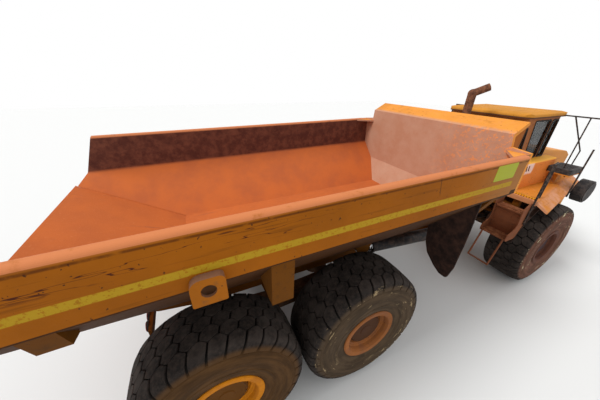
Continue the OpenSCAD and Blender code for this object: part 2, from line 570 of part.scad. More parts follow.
module seat_and_dash() color(dark) {
  slab_y([[cab_x0 + 200, cab_z0 + 350, 30], [cab_x0 + 710, cab_z0 + 350, 30], [cab_x0 + 720, cab_z0 + 480, 50],
    [cab_x0 + 200, cab_z0 + 450, 30]], -250, 250);
  slab_y([[cab_x0 + 170, cab_z0 + 380, 30], [cab_x0 + 290, cab_z0 + 400, 30], [cab_x0 + 240, cab_z0 + 1060, 50],
    [cab_x0 + 120, cab_z0 + 1060, 50]], -240, 240);
  bx(cab_x0 + 300, cab_x0 + 600, -150, 150, cab_z0, cab_z0 + 360);
  slab_y([[cab_x1 - 330, cab_z0 + 500, 30], [cab_x1 - 50, cab_z0 + 500], [cab_x1 - 50, cab_z0 + 620],
    [cab_x1 - 300, cab_z0 + 640, 50]],
    -600, 600);
  bx(cab_x1 - 200, cab_x1 - 50, -500, 500, cab_z0, cab_z0 + 505);
  bar([cab_x1 - 260, 0, cab_z0 + 560], wheel_at, 25);
  translate(wheel_at) rotate([0, -48, 0]) rotate_extrude() translate([190, 0]) circle(r = 16, $fn = 16);
  translate(wheel_at) rotate([0, -48, 0]) cube([24, 380, 16], center = true);
}
module door_left() color(rust) {
  difference() {
    bx(door_x0 + 6, door_x1 - 6, cab_hw - 45, cab_hw - 5, cab_z0 + 36, window_z - 6);
    slab_y(box2(door_x0 + 76, door_x1 - 76, sill_z - 60, window_z - 70, 50), cab_hw - 50, cab_hw);
  }
  for (z = [cab_z0 + 200, cab_z1 - 560]) difference() {
    union() {
      cyl_z(door_x1 + 10, cab_hw + 16, 15, z + seat, z + 120);
      bx(door_x1 - 40, door_x1 + 10, cab_hw - 6, cab_hw + 16, z + seat, z + 120);
      bx(door_x1 - 60, door_x1 - 30, cab_hw - 20, cab_hw + 10, z + seat, z + 120);
    }
    cyl_z(door_x1 + 10, cab_hw + 16, 8 + gap, z - 10, z + 130);
    bx(door_x1 - 6, door_x1 + 60, cab_hw - 60, cab_hw + 0.5, z - 10, z + 130);
  }
  // handle
  bars([[door_x0 + 40, cab_hw - 6, cab_z0 + 420], [door_x0 + 40, cab_hw + 30, cab_z0 + 420],
    [door_x0 + 40, cab_hw + 30, cab_z0 + 560], [door_x0 + 40, cab_hw - 6, cab_z0 + 560]], 9);
}
module door_glass_left() color(glass_c)
  slab_y(box2(door_x0 + 76, door_x1 - 76, sill_z - 60, window_z - 70, 50), cab_hw - 29, cab_hw - 21);

// box along the right side of the cab, with a slatted vent at its rear
box_y = 950;
module side_box() color(yellow) difference() {
  intersection() {
    slab_x([[-box_y, deck_z + deck_t + seat], [-box_y, 2625, 35], [-cab_hw - seat, 2635], [-cab_hw - seat,
      deck_z + deck_t + seat]],
      cab_x0 + 20, cab_x1 + 150);
    slab_z([[cab_x0 + 20, -cab_hw], [cab_x0 + 20, -box_y, 40], [cab_x1 + 150, -box_y, 60], [cab_x1 + 150,
      -cab_hw]], 2000, 2700);
  }
  for (i = [0 : 3]) slab_y([[cab_x0 + 90 + i * 85, 2460], [cab_x0 + 130 + i * 85, 2460],
    [cab_x0 + 90 + i * 85, 2575],
    [cab_x0 + 50 + i * 85, 2575]], -box_y - 10, -box_y + 30);
}
// black intake box with a slatted top, on a pedestal ahead of the cab
intake = [hitch_x + 1670, hitch_x + 2250, -1320, -950];
module intake_box() color(dark) {
  bx(intake[0] + 180, intake[1] - 180, intake[3] - 160, intake[3] - 20, deck_z + deck_t + seat, 2370);
  difference() {
    slab_z(box2(intake[0], intake[1], intake[2], intake[3], 40), 2360, 2490);
    for (i = [0 : 6]) bx(intake[0] + 60 + i * 68, intake[0] + 92 + i * 68, intake[2] + 50, intake[3] - 50,
      2440, 2500);
  }
}
module air_drum() color(dark) {
  cyl_y(hitch_x + 2450, 1970, 245, -1520, -1335);
  cyl_y(hitch_x + 2450, 1970, 215, -1535, -1519);
  bx(hitch_x + 2410, hitch_x + 2490, -1340, -1000, 1850, 1920);
  bx(hitch_x + 2410, hitch_x + 2490, -1050, -1000, 1850, deck_z - seat);
}

// hood, engine and the rest of the front unit
module hood_form(c) intersection() {
  slab_y([[hood_x0 - c, 1760 - c], [hood_x0 - c, 2700 - c], [hood_x0 + 200, 2700 - c, 300],
    [hood_x1 - 350 - c / 2, 2560 - c, 300],
    [hood_x1 - c, 2380 - c, 120], [hood_x1 - c, 1560 - c], [hood_x1 - 700, 1560 - c, 60], [hood_x1 - 760,
      1760 - c, 60]], -700, 700);
  slab_z([[hood_x0 - 60, -hood_hw + c], [hood_x1 - c, -hood_hw + c, 130], [hood_x1 - c, hood_hw - c, 130],
    [hood_x0 - 60, hood_hw - c]],
    1400, 2800);
  slab_x([[-hood_hw + c, 1400], [hood_hw - c, 1400], [hood_hw - c, 2680 - c, 110], [0, 2720 - c, 400],
    [-hood_hw + c, 2680 - c, 110]],
    hood_x0 - 60, hood_x1 + 60);
}
module hood() color(yellow) {
  both() {
    bx(hinge_x - 30, hinge_x + 30, hood_hw - 35, hood_hw, hinge_z - 25, 1700);
    cyl_y(hinge_x, hinge_z, 20, 440, hood_hw - 20);
  }
  difference() {
    hood_form(0);
    hood_form(30);
    slab_x(box2(-480, 480, 1640, 2240, 40), hood_x1 - 60, hood_x1 + 10);
    // slots in the sides
    both() for (i = [0 : 6]) slab_y([[hood_x0 + 420, 1960 + i * 70], [hood_x0 + 900, 1960 + i * 70],
      [hood_x0 + 900, 1985 + i * 70],
      [hood_x0 + 420, 1985 + i * 70]], hood_hw - 60, hood_hw + 10);
  }
}
module grille() color(dark) {
  difference() {
    slab_x(box2(-480 + seat, 480 - seat, 1640 + seat, 2240 - seat, 40), hood_x1 - 28, hood_x1 - 2);
    slab_x(box2(-450, 450, 1670, 2210, 20), hood_x1 - 40, hood_x1 + 10);
  }
  for (z = [1690 : 52 : 2190]) bx(hood_x1 - 24, hood_x1 - 6, -455, 455, z, z + 22);
}
module engine() color(dark) {
  bx(hood_x0 + 150, hood_x1 - 500, -230, 230, 1250, 2250);
  bx(hood_x1 - 400, hood_x1 - 250, -450, 450, front_z1 + seat, 2180);
  both() bx(hood_x0 + 200, hood_x0 + 400, 200, rail_y - rail_t - seat, 1250, 1400);
}

// deck over the front wheels: flat inside, sloping down outside, along an edge that tapers to the nose
function edge_y(x) = deck_y - (x - deck_x0) * deck_slope;
module edge() translate([deck_x0, deck_y, 0]) rotate([0, 0, -atan(deck_slope)]) children();
module fenders() color(yellow) both() {
  difference() {
    union() {
      slab_z([[deck_x0, cab_hw + seat], [deck_x0, edge_y(deck_x0) - 190], [deck_x1, edge_y(deck_x1) - 190],
        [deck_x1, hood_hw + 20],
        [cab_x1 + seat, hood_hw + 20], [cab_x1 + seat, cab_hw + seat]], deck_z, deck_z + deck_t);
      edge() slab_x([[-215, deck_z], [0, deck_z - 130, 15], [0, deck_z - 80, 15], [-205, deck_z + deck_t, 60],
        [-260, deck_z + deck_t],
        [-260, deck_z]], 30, (deck_x1 - deck_x0) * 0.97);
    }
    // teeth of the tread strip at the rear edge
    for (i = [0 : 9]) bx(deck_x0 + 40, deck_x0 + 95, 985 + i * 42, 1003 + i * 42, deck_z + deck_t - 14,
      deck_z + deck_t + 10);
  }
  // raised foot board at the rear edge
  bx(deck_x0, deck_x0 + 25, cab_hw + 220, 1440, deck_z - 40, deck_z + deck_t);
}
// curved plates inside the wheel arches, hung from the deck by webs
arch_r = 1010;
module arch_liners() color(rust) both() {
  difference() {
    union() {
      intersection() {
        cyl_y(front_x, axle_z, arch_r + 25, 800, 1400, $fn = 240);
        union() {
          bx(front_x - arch_r - 40, front_x - 480, 790, 1410, 1180, 1990);
          bx(front_x + 520, front_x + arch_r + 40, 910, 1200, 1500, 1990);
        }
      }
      bx(front_x - 740, front_x - 480, 1325, 1340, 1500, deck_z - seat);
      bx(front_x + 520, front_x + 700, 1080, 1095, 1500, deck_z - seat);
    }
    cyl_y(front_x, axle_z, arch_r, 700, 1500, $fn = 240);
  }
}

// stairs behind the front wheels, climbed from the rear
step_y = [940, 1410];
module steps() color(rust) both() {
  for (y = [step_y[0], step_y[1] - 15]) slab_y([[deck_x0, deck_z - seat], [deck_x0, 1600, 80], [deck_x0 - 110,
    1300, 60],
    [deck_x0 - 430, 1300, 60], [deck_x0 - 430, 1440, 60], [deck_x0 - 215, 1560, 120], [deck_x0 - 265, 1950, 60],
    [deck_x0 - 150, deck_z - seat, 60]], y, y + 15);
  // treads with serrated fronts
  for (s = [[deck_x0 - 250, deck_x0 - 20, 1860], [deck_x0 - 415, deck_x0 - 150, 1320]]) {
    slab_z([[s[0], step_y[0] + 10, 40], [s[1], step_y[0] + 10], [s[1], step_y[1] - 10], [s[0], step_y[1] - 10,
      40]], s[2], s[2] + 25);
    for (i = [0 : 10]) bx(s[0] + 30, s[0] + 70, step_y[0] + 40 + i * 37, step_y[0] + 55 + i * 37, s[2] + 20,
      s[2] + 38);
  }
  // curved cover between the treads
  slab_y([[deck_x0 - 25, 1870], [deck_x0 - 180, 1850, 60], [deck_x0 - 170, 1600, 120], [deck_x0 - 140, 1340],
    [deck_x0 - 125, 1340],
    [deck_x0 - 150, 1600, 120], [deck_x0 - 160, 1835, 50], [deck_x0 - 25, 1855]], step_y[0] + 10,
      step_y[1] - 10);
  bars([[deck_x0 - 400, step_y[0] + 45, 1325], [deck_x0 - 560, step_y[0] + 45, 760], [deck_x0 - 560,
    step_y[1] - 45, 760],
    [deck_x0 - 400, step_y[1] - 45, 1325]], 16);
}
rail_foot = step_y[1] + 16 + seat;
post_r = 14;
post_x = hitch_x + 1800;
post_y = edge_y(post_x) + (post_r + seat) / cos(atan(deck_slope));
module handrails() color(dark) both() {
  bars([[deck_x0 - 60, rail_foot, 1620], [deck_x0 - 60, rail_foot, 2740], [deck_x0 - 35, rail_foot - 10, 2800],
    [deck_x0 + 185, 1380, 2800], [deck_x0 + 210, 1370, 2740], [deck_x0 + 240, 1360, deck_z + deck_t + 60],
    [deck_x0 + 240, 1360, deck_z + deck_t + seat]], 16);
  // post ahead of the cab, beside the deck's edge
  bar([post_x, post_y, 1935], [post_x, post_y, 2930], post_r);
}
// mirror frames: a bar out from the roof, a post, and a brace forward to the deck
module mirrors() color(dark) both() {
  bars([[hitch_x + 1770, cab_hw + 50 + seat, 3470], [hitch_x + 1770, 1480, 3470], [hitch_x + 1770, 1480,
    3420]], 13);
  bar([hitch_x + 1770, 1165, 3470], [hitch_x + 1770, 1165, 2490 + seat], 11);
  bars([[hitch_x + 1770, 950, 3470], [hitch_x + 2650, 1020, 2720], [hitch_x + 2650, 1000,
    deck_z + deck_t + seat]], 12);
  slab_y(box2(hitch_x + 1660, hitch_x + 1880, 3060, 3430, 40), 1470, 1500);
}
module exhaust() color(rust) {
  cyl_z(hitch_x - 20, 50, 140, 1750, 2700);
  cyl_z(hitch_x - 20, 50, 75, 1700, 3660);
  bar([hitch_x - 20, 50, 3640], [hitch_x - 20, 50, 3830], 75);
  translate([hitch_x - 20, 50, 3830]) sphere(r = 79);
  bar([hitch_x - 20, 50, 3830], [hitch_x + 160, -120, 3950], 68);
  for (z = [2200, 3250]) bx(hitch_x + 30, cab_x0 - seat, 0, 100, z, z + 60);
}
module tanks() color(yellow) both() slab_y(box2(front_x + 780, front_x + 1500, 1000, 1400, 90), rail_y + seat,
  880);
module bumper() color(yellow) {
  slab_z([[front_x + 2150 + seat, -900], [front_x + 2150 + seat, -950], [front_x + front_over - 120, -950, 60],
    [front_x + front_over - 10, -760, 90], [front_x + front_over - 10, 760, 90], [front_x + front_over - 120,
      950, 60],
    [front_x + 2150 + seat, 950]], 1000, 1440);
  both() difference() {
    union() {
      slab_y([[hinge_x - 60, 1430], [hinge_x - 35, hinge_z], [hinge_x + 35, hinge_z], [hinge_x + 60, 1430]],
        440, 520);
      cyl_y(hinge_x, hinge_z, 35.5, 440, 520);
    }
    cyl_y(hinge_x, hinge_z, 20 + gap, 400, 600);
  }
}
module lamps() color([0.9, 0.9, 0.85]) both()
  for (y = [480, 640]) translate([front_x + front_over - 10 + seat, y, 1300]) rotate([0, 90, 0])
    cylinder(r = 65, h = 9.8);

rear_frame();
mid_axle();
rear_axle();
bogie_beams();
tail_lamps();
hitch();
front_frame();
front_axle();
front_struts();
bed_floor();
bed_sides();
headboard();
bed_ribs();
tie_eyes();
mudflaps();
hoist_barrels();
hoist_sleeves();
hoist_inner_sleeves();
hoist_rods();
steer_barrel_right();
steer_barrel_left();
steer_rod_right();
steer_rod_left();
tyre_fr();
tyre_fl();
tyre_mr();
tyre_ml();
tyre_rr();
tyre_rl();
rim_fr();
rim_fl();
rim_mr();
rim_ml();
rim_rr();
rim_rl();
cab();
cab_roof();
cab_glass();
seat_and_dash();
door_left();
door_glass_left();
side_box();
intake_box();
air_drum();
hood();
grille();
engine();
fenders();
arch_liners();
steps();
handrails();
mirrors();
exhaust();
tanks();
bumper();
lamps();
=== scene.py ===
# An articulated dump truck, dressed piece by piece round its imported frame.
import math
import bmesh
import bpy
import numpy as np
from mathutils import Matrix, Vector


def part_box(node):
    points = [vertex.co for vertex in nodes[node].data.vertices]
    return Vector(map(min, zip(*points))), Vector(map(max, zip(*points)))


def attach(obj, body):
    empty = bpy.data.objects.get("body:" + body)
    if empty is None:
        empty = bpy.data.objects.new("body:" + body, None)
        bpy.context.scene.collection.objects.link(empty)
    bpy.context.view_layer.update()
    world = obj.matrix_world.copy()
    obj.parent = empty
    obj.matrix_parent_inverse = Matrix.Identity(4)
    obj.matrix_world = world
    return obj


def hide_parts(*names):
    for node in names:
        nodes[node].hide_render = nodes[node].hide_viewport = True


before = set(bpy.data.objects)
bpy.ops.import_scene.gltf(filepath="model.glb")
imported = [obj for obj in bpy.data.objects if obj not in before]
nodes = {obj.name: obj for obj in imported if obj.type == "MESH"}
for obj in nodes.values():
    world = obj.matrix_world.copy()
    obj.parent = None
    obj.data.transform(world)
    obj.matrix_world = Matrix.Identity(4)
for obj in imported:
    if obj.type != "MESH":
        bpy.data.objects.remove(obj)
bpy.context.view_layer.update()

# Camera: it stands beside the tail, about four metres up, and looks forward and down
# across the bed with a very wide lens.
middle_axle_x = -1.800
eye_place = Vector((middle_axle_x - 1.782, -3.092, 4.031))
eye_yaw, eye_pitch, eye_roll = (math.radians(angle) for angle in (64.57, -27.13, 1.22))
picture_width, focal_pixels = 600, 238.0
ahead = Vector((math.cos(eye_yaw) * math.cos(eye_pitch), math.sin(eye_yaw) * math.cos(eye_pitch),
                math.sin(eye_pitch)))
level = Vector((math.sin(eye_yaw), -math.cos(eye_yaw), 0))
upright = level.cross(ahead)
right = level * math.cos(eye_roll) + upright * math.sin(eye_roll)
up = upright * math.cos(eye_roll) - level * math.sin(eye_roll)
camera = bpy.data.objects.new("camera", bpy.data.cameras.new("camera"))
bpy.context.scene.collection.objects.link(camera)
turn = Matrix((right, up, -ahead)).transposed()
camera.matrix_world = Matrix.Translation(eye_place) @ turn.to_4x4()
camera.data.sensor_width = 36
camera.data.lens = focal_pixels * camera.data.sensor_width / picture_width
camera.data.clip_start, camera.data.clip_end = 0.05, 200
bpy.context.scene.camera = camera


# Ground and light: a plain pale floor under an even white sky, with a broad soft lamp
# high behind the tail and a weak one in front. The finish of every surface is made by the
# two classes that start here.
class Signal:
    """A number or colour on its way between shader nodes, so that maths reads as sums."""

    def __init__(self, finish, socket):
        self.finish, self.socket = finish, socket

    def maths(self, operation, *values):
        return self.finish.node("ShaderNodeMath", {"operation": operation}, dict(enumerate(values)))

    def __add__(self, other):
        return self.maths("ADD", self, other)

    def __sub__(self, other):
        return self.maths("SUBTRACT", self, other)

    def __rsub__(self, other):
        return self.maths("SUBTRACT", other, self)

    def __mul__(self, other):
        return self.maths("MULTIPLY", self, other)

    def __pow__(self, other):
        return self.maths("POWER", self, other)

    def __abs__(self):
        return self.maths("ABSOLUTE", self)

    __radd__, __rmul__ = __add__, __mul__

    def rises(self, low, high):
        """0 below low, 1 above high and smooth between, or the other way round."""
        settings = {"interpolation_type": "SMOOTHSTEP", "clamp": True}
        return self.finish.node("ShaderNodeMapRange", settings, {0: self, 1: low, 2: high, 3: 0, 4: 1})

    def between(self, low, high, soft):
        """1 between low and high, falling to 0 outside them."""
        return self.rises(low - soft, low + soft) * self.rises(high + soft, high - soft)


class Finish:
    """A material for one of the truck's surfaces, with its place on the truck in metres."""

    def __init__(self, name, metallic=0.0, centre=(0, 0, 0)):
        self.material = bpy.data.materials.new(name)
        self.material.use_nodes = True
        self.tree = self.material.node_tree
        self.shader = self.tree.nodes["Principled BSDF"]
        self.shader.inputs["Metallic"].default_value = metallic
        self.shader.inputs["Specular IOR Level"].default_value = 0.12
        self.place = self.node("ShaderNodeTexCoord", output=3)
        self.facing = self.node("ShaderNodeTexCoord", output=1)
        self.centre = centre

    def node(self, kind, settings=None, values=None, output=0):
        made = self.tree.nodes.new(kind)
        for name, value in (settings or {}).items():
            setattr(made, name, value)
        for key, value in (values or {}).items():
            self.plug(value, made.inputs[key])
        return Signal(self, made.outputs[output])

    def plug(self, value, socket):
        if isinstance(value, Signal):
            self.tree.links.new(value.socket, socket)
        elif isinstance(value, tuple) and len(value) == 3 and socket.type == "RGBA":
            socket.default_value = (*value, 1)
        else:
            socket.default_value = value

    def axis(self, index):
        """Where along x, y or z a point of the surface lies, from the finish's centre."""
        return self.node("ShaderNodeSeparateXYZ", None, {0: self.place}, index) - self.centre[index]

    def tilt(self, index):
        """How far the surface faces along x, y or z."""
        return self.node("ShaderNodeSeparateXYZ", None, {0: self.facing}, index)

    def cloud(self, scale, detail=4.0, rough=0.6, stretch=(1, 1, 1), shift=(0, 0, 0), where=None):
        """Fractal noise, in lumps of about 1 / scale metres."""
        mapping = {"Vector": where or self.place, "Scale": stretch, "Location": shift}
        where = self.node("ShaderNodeMapping", None, mapping)
        values = {"Vector": where, "Scale": scale, "Detail": detail, "Roughness": rough}
        return self.node("ShaderNodeTexNoise", None, values)

    def mix(self, factor, first, second):
        return self.node("ShaderNodeMix", {"data_type": "RGBA"}, {0: factor, 6: first, 7: second}, 2)

    def paint(self, colour, roughness, height=None, depth=0.002):
        self.plug(colour, self.shader.inputs["Base Color"])
        self.plug(roughness, self.shader.inputs["Roughness"])
        if height is not None:
            bump = self.node("ShaderNodeBump", None, {"Height": height, "Distance": depth, "Strength": 1.0})
            self.plug(bump, self.shader.inputs["Normal"])
        return self.material


def dress(material, *names):
    for name in names:
        mesh = nodes[name].data
        mesh.materials.clear()
        mesh.materials.append(material)


floor_mesh = bpy.data.meshes.new("floor")
reach = 40
floor_corners = [(-reach, -reach, 0), (reach, -reach, 0), (reach, reach, 0), (-reach, reach, 0)]
floor_mesh.from_pydata(floor_corners, [], [(0, 1, 2, 3)])
floor = bpy.data.objects.new("floor", floor_mesh)
floor.location.z = -0.002
bpy.context.scene.collection.objects.link(floor)
ground = Finish("pale floor")
floor_mesh.materials.append(ground.paint((0.66, 0.66, 0.65), 0.9))
world = bpy.context.scene.world or bpy.data.worlds.new("sky")
bpy.context.scene.world = world
world.use_nodes = True
sky = world.node_tree
soft_light = sky.nodes["Background"]
soft_light.inputs[0].default_value = (0.95, 0.97, 1.0, 1)
soft_light.inputs[1].default_value = 0.66
sky_kinds = ("ShaderNodeBackground", "ShaderNodeMixShader", "ShaderNodeLightPath")
white, seen, ray = (sky.nodes.new(kind) for kind in sky_kinds)
white.inputs[0].default_value = (1, 1, 1, 1)
clear_view = None
for kind in ("Is Camera Ray", "Is Glossy Ray", "Is Transmission Ray"):
    either = sky.nodes.new("ShaderNodeMath")
    either.operation = "MAXIMUM"
    sky.links.new(ray.outputs[kind], either.inputs[0])
    if clear_view:
        sky.links.new(clear_view, either.inputs[1])
    clear_view = either.outputs[0]
sky.links.new(clear_view, seen.inputs[0])
sky.links.new(soft_light.outputs[0], seen.inputs[1])
sky.links.new(white.outputs[0], seen.inputs[2])
sky.links.new(seen.outputs[0], sky.nodes["World Output"].inputs[0])
# name, direction towards the lamp, power, and angle over which its light is spread
lamps = (("rear lamp", (-0.80, 0.16, 1.0), 2.4, 20), ("front lamp", (0.9, -0.4, 0.6), 0.45, 60))
for name, aim, power, spread in lamps:
    lamp = bpy.data.lights.new(name, "SUN")
    lamp.energy, lamp.angle = power, math.radians(spread)
    holder = bpy.data.objects.new(name, lamp)
    bpy.context.scene.collection.objects.link(holder)
    holder.rotation_euler = Vector(aim).to_track_quat("Z", "Y").to_euler()
bpy.context.scene.view_settings.view_transform = "Standard"


# Frames: welded box rails and cross members, with the tanks, in yellow paint that is
# dulled by dried mud wherever the wheels throw it.
def worn_paint(name, base, dust, centre=(0, 0, 0), dirt=0.5):
    """Dusty yellow paint with rust specks and long thin scratches."""
    finish = Finish(name, 0.0, centre)
    large, fine = finish.cloud(1.1, 5), finish.cloud(14, 6, 0.7)
    colour = finish.mix(large.rises(0.35, 0.7), base, tuple(c * 0.78 for c in base))
    colour = finish.mix(fine.rises(0.5, 0.75) * dirt, colour, dust)
    streaks = finish.cloud(5, 3, 0.5, (0.25, 1, 6), (3, 0, 0))
    colour = finish.mix(streaks.rises(0.60, 0.74) * 0.4, colour, tuple(c * 0.35 for c in base))
    specks = finish.cloud(34, 2, 0.5, (1, 1, 1), (9, 2, 0)).rises(0.69, 0.73)
    colour = finish.mix(specks * 0.85, colour, (0.035, 0.014, 0.008))
    return finish, colour, fine


frame_paint, frame_colour, frame_grain = worn_paint("frame paint", (0.170, 0.055, 0.004),
                                                    (0.075, 0.038, 0.022), dirt=0.85)
dress(frame_paint.paint(frame_colour, 0.8, frame_grain), "rear_frame", "front_frame", "tanks")

# Axles, bogie beams, hitch and springs: cast and forged parts under a crust of brown dust.
cast = Finish("dusty castings")
clods = cast.cloud(9, 6, 0.7)
rusty = cast.mix(clods.rises(0.3, 0.7), (0.060, 0.030, 0.018), (0.150, 0.080, 0.045))
dress(cast.paint(rusty, 0.9, clods, 0.004), "mid_axle", "rear_axle", "front_axle", "bogie_beams",
      "hitch", "front_struts", "engine")

# Hoist and steering cylinders: black painted barrels, chromed sections that slide out.
barrel = Finish("cylinder barrel")
film = barrel.cloud(12, 5)
barrel_black = barrel.mix(film.rises(0.4, 0.7), (0.010, 0.009, 0.010), (0.060, 0.038, 0.028))
dress(barrel.paint(barrel_black, 0.42), "hoist_barrels", "steer_barrel_right", "steer_barrel_left")
chrome = Finish("chromed rod", 1.0)
chrome_grey = chrome.mix(chrome.cloud(15).rises(0.45, 0.7), (0.62, 0.62, 0.63), (0.42, 0.36, 0.31))
dress(chrome.paint(chrome_grey, 0.22), "hoist_sleeves", "hoist_inner_sleeves", "hoist_rods",
      "steer_rod_right", "steer_rod_left")


# Rims: stepped steel rings round flat hub covers, yellow under dust that differs from
# axle to axle, each cover held by a ring of small bolts.
class Shape:
    """Corners and faces of a piece, added skin by skin."""

    def __init__(self):
        self.points, self.faces, self.skins = [], [], []

    def loft(self, rings, closed=False, skin=0):
        """Skin over rings of equally many corners; closed: the last ring meets the first."""
        first, count = len(self.points), len(rings[0])
        self.points += [tuple(point) for ring in rings for point in ring]
        spans = len(rings) if closed else len(rings) - 1
        faces = []
        for row in range(spans):
            here, there = first + row * count, first + (row + 1) % len(rings) * count
            faces += [(here + k, there + k, there + (k + 1) % count, here + (k + 1) % count)
                      for k in range(count)]
        if not closed:
            last = first + (len(rings) - 1) * count
            faces += [tuple(range(first, first + count)), tuple(range(last + count - 1, last - 1, -1))]
        self.faces += faces
        self.skins += [skin] * len(faces)

    def mesh(self, name, *materials, smooth=35):
        """The mesh, with its faces turned outwards and its flat angles smoothed."""
        made = bpy.data.meshes.new(name)
        made.from_pydata(self.points, [], self.faces)
        for material in materials:
            made.materials.append(material)
        made.polygons.foreach_set("material_index", self.skins)
        work = bmesh.new()
        work.from_mesh(made)
        bmesh.ops.recalc_face_normals(work, faces=work.faces)
        work.to_mesh(made)
        work.free()
        made.shade_smooth()
        made.set_sharp_from_angle(angle=math.radians(smooth))
        return made


def piece(name, mesh, body, place=(0, 0, 0), turned=0.0):
    """A new piece of the truck, set in its place on the body that carries it."""
    made = bpy.data.objects.new(name, mesh)
    bpy.context.scene.collection.objects.link(made)
    made.location = place
    made.rotation_euler.z = turned
    bpy.context.view_layer.update()
    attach(made, body)
    return made


def nut(shape, centre, axis, radius, height, sides=6):
    """A bolt head or nut with a chamfered crown, standing on a surface."""
    axis = Vector(axis).normalized()
    across = axis.orthogonal().normalized()
    beside = axis.cross(across)
    rings = []
    for lift, size in ((-0.002, 1), (height * 0.8, 1), (height, 0.8)):
        ring = []
        for k in range(sides):
            angle = 2 * math.pi * k / sides
            outwards = across * math.cos(angle) + beside * math.sin(angle)
            ring.append(Vector(centre) + axis * lift + outwards * radius * size)
        rings.append(ring)
    shape.loft(rings)


wheels = {}
for wheel in ("fr", "fl", "mr", "ml", "rr", "rl"):
    low, high = (Vector(corner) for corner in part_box("tyre_" + wheel))
    wheels[wheel] = (low + high) / 2
# colours of each axle's rings, of the dust on them and of the hub cover
rim_dirt = {"f": ((0.130, 0.047, 0.027), (0.075, 0.037, 0.030), (0.038, 0.018, 0.020)),
            "m": ((0.300, 0.105, 0.028), (0.190, 0.075, 0.034), (0.045, 0.019, 0.009)),
            "r": ((0.560, 0.190, 0.004), (0.380, 0.125, 0.010), (0.070, 0.026, 0.003))}
bolt_count, bolt_ring, bolt_seat, bolt_radius, bolt_height = 20, 0.214, 0.2662, 0.009, 0.006
bolt_shape = Shape()
for k in range(bolt_count):
    angle = 2 * math.pi * k / bolt_count
    bolt_place = (bolt_ring * math.sin(angle), bolt_seat, bolt_ring * math.cos(angle))
    nut(bolt_shape, bolt_place, (0, 1, 0), bolt_radius, bolt_height)
bolt_finish = Finish("bolt heads")
bolt_rust = bolt_finish.cloud(20, 5)
bolt_colour = bolt_finish.mix(bolt_rust.rises(0.35, 0.65), (0.140, 0.060, 0.022), (0.060, 0.030, 0.018))
bolt_steel = bolt_finish.paint(bolt_colour, 0.7)
cover_edge = 0.246
for axle, (paint, dust, cover) in rim_dirt.items():
    rim_paint, rim_colour, rim_grain = worn_paint("rim paint " + axle, paint, dust, dirt=0.9)
    place_x = {"f": wheels["fr"].x, "m": wheels["mr"].x, "r": wheels["rr"].x}[axle]
    from_axis = ((rim_paint.axis(0) - place_x) ** 2 + (rim_paint.axis(2) - wheels["mr"].z) ** 2) ** 0.5
    rim_colour = rim_paint.mix(rim_paint.cloud(5, 5).rises(0.4, 0.65) * 0.7, rim_colour, dust)
    on_cover = from_axis.rises(cover_edge + 0.003, cover_edge - 0.003) * 0.92
    rim_colour = rim_paint.mix(on_cover, rim_colour, cover)
    rim_material = rim_paint.paint(rim_colour, 0.75, rim_grain)
    for side in "rl":
        dress(rim_material, "rim_" + axle + side)
        bolts = bolt_shape.mesh("cover bolts", bolt_steel)
        piece("cover_bolts_" + axle + side, bolts, "wheel_" + axle + side,
              wheels[axle + side], math.pi if side == "r" else 0)

# Tyres: wide radial earthmover tyres. Three columns of six-sided blocks between two
# columns of shoulder blocks that wrap down to the side walls, moulded in black rubber.
tread_radius = wheels["mr"].z
# distance from the tyre's middle, and how far the tread has fallen there
tread_fall = np.array([(0, 0), (0.09, 0.001), (0.18, 0.0045), (0.235, 0.0095), (0.275, 0.017),
                       (0.304, 0.029), (0.326, 0.048), (0.339, 0.072), (0.347, 0.100), (0.353, 0.130),
                       (0.3565, 0.150)])
steps = np.hypot(*np.diff(tread_fall, axis=0).T)
run = np.concatenate(([0], np.cumsum(steps)))
slopes = np.gradient(tread_fall, run, axis=0)
groove_depth, shoulder_starts, block_end = 0.036, 0.27, run[-1]


def on_tread(along, depth):
    """Distance from the tyre's middle and radius at a distance along the tread and below its face."""
    side, along = (-1 if along < 0 else 1), abs(along)
    across, fall = (np.interp(along, run, tread_fall[:, k]) for k in (0, 1))
    run_across, run_fall = (np.interp(along, run, slopes[:, k]) for k in (0, 1))
    size = math.hypot(run_across, run_fall)
    return side * (across - run_fall / size * depth), tread_radius - fall - run_across / size * depth


def groove(along):
    """Depth of the grooves, which run out on the side wall."""
    return float(np.interp(abs(along), (shoulder_starts, block_end), (groove_depth, 0.007)))


# tread blocks: number round the tyre, slant, bevel, edges of the columns, length of a block's
# points, half the groove along the tread and the groove across it
pitches, skew, bevel = 31, 0.30, 0.006
pitch = 2 * math.pi / pitches
columns = (-0.189, -0.063, 0.063, 0.189)
point, half_groove, cross_groove = 0.024, 0.0095, 0.009
wide = pitch / 2 - cross_groove / tread_radius
narrow = wide * 0.22


def block(shape, knots, centre):
    """A tread block between knots: distance across the tread, half the angle taken there."""
    across, halves = zip(*knots)
    on_shoulder = (s for s in np.arange(-0.40, 0.41, 0.03)
                   if abs(s) > 0.2 and across[0] + 0.01 < s < across[-1] - 0.01)
    stations = sorted({across[0], across[0] + bevel, *across[1:-1], across[-1] - bevel, across[-1],
                       *on_shoulder})
    rings = []
    for along in stations:
        half = float(np.interp(along, across, halves))
        crown = bevel if along in (across[0], across[-1]) else 0
        chamfer = min(bevel / tread_radius, half / 3)
        middle = centre + skew * along
        foot = groove(along) + 0.003
        corners = ((-half, foot), (-half, bevel), (chamfer - half, crown), (half - chamfer, crown),
                   (half, bevel), (half, foot))
        ring = []
        for angle, depth in corners:
            y, radius = on_tread(along, depth)
            ring.append((radius * math.sin(middle + angle), y, radius * math.cos(middle + angle)))
        rings.append(ring)
    shape.loft(rings, skin=1)


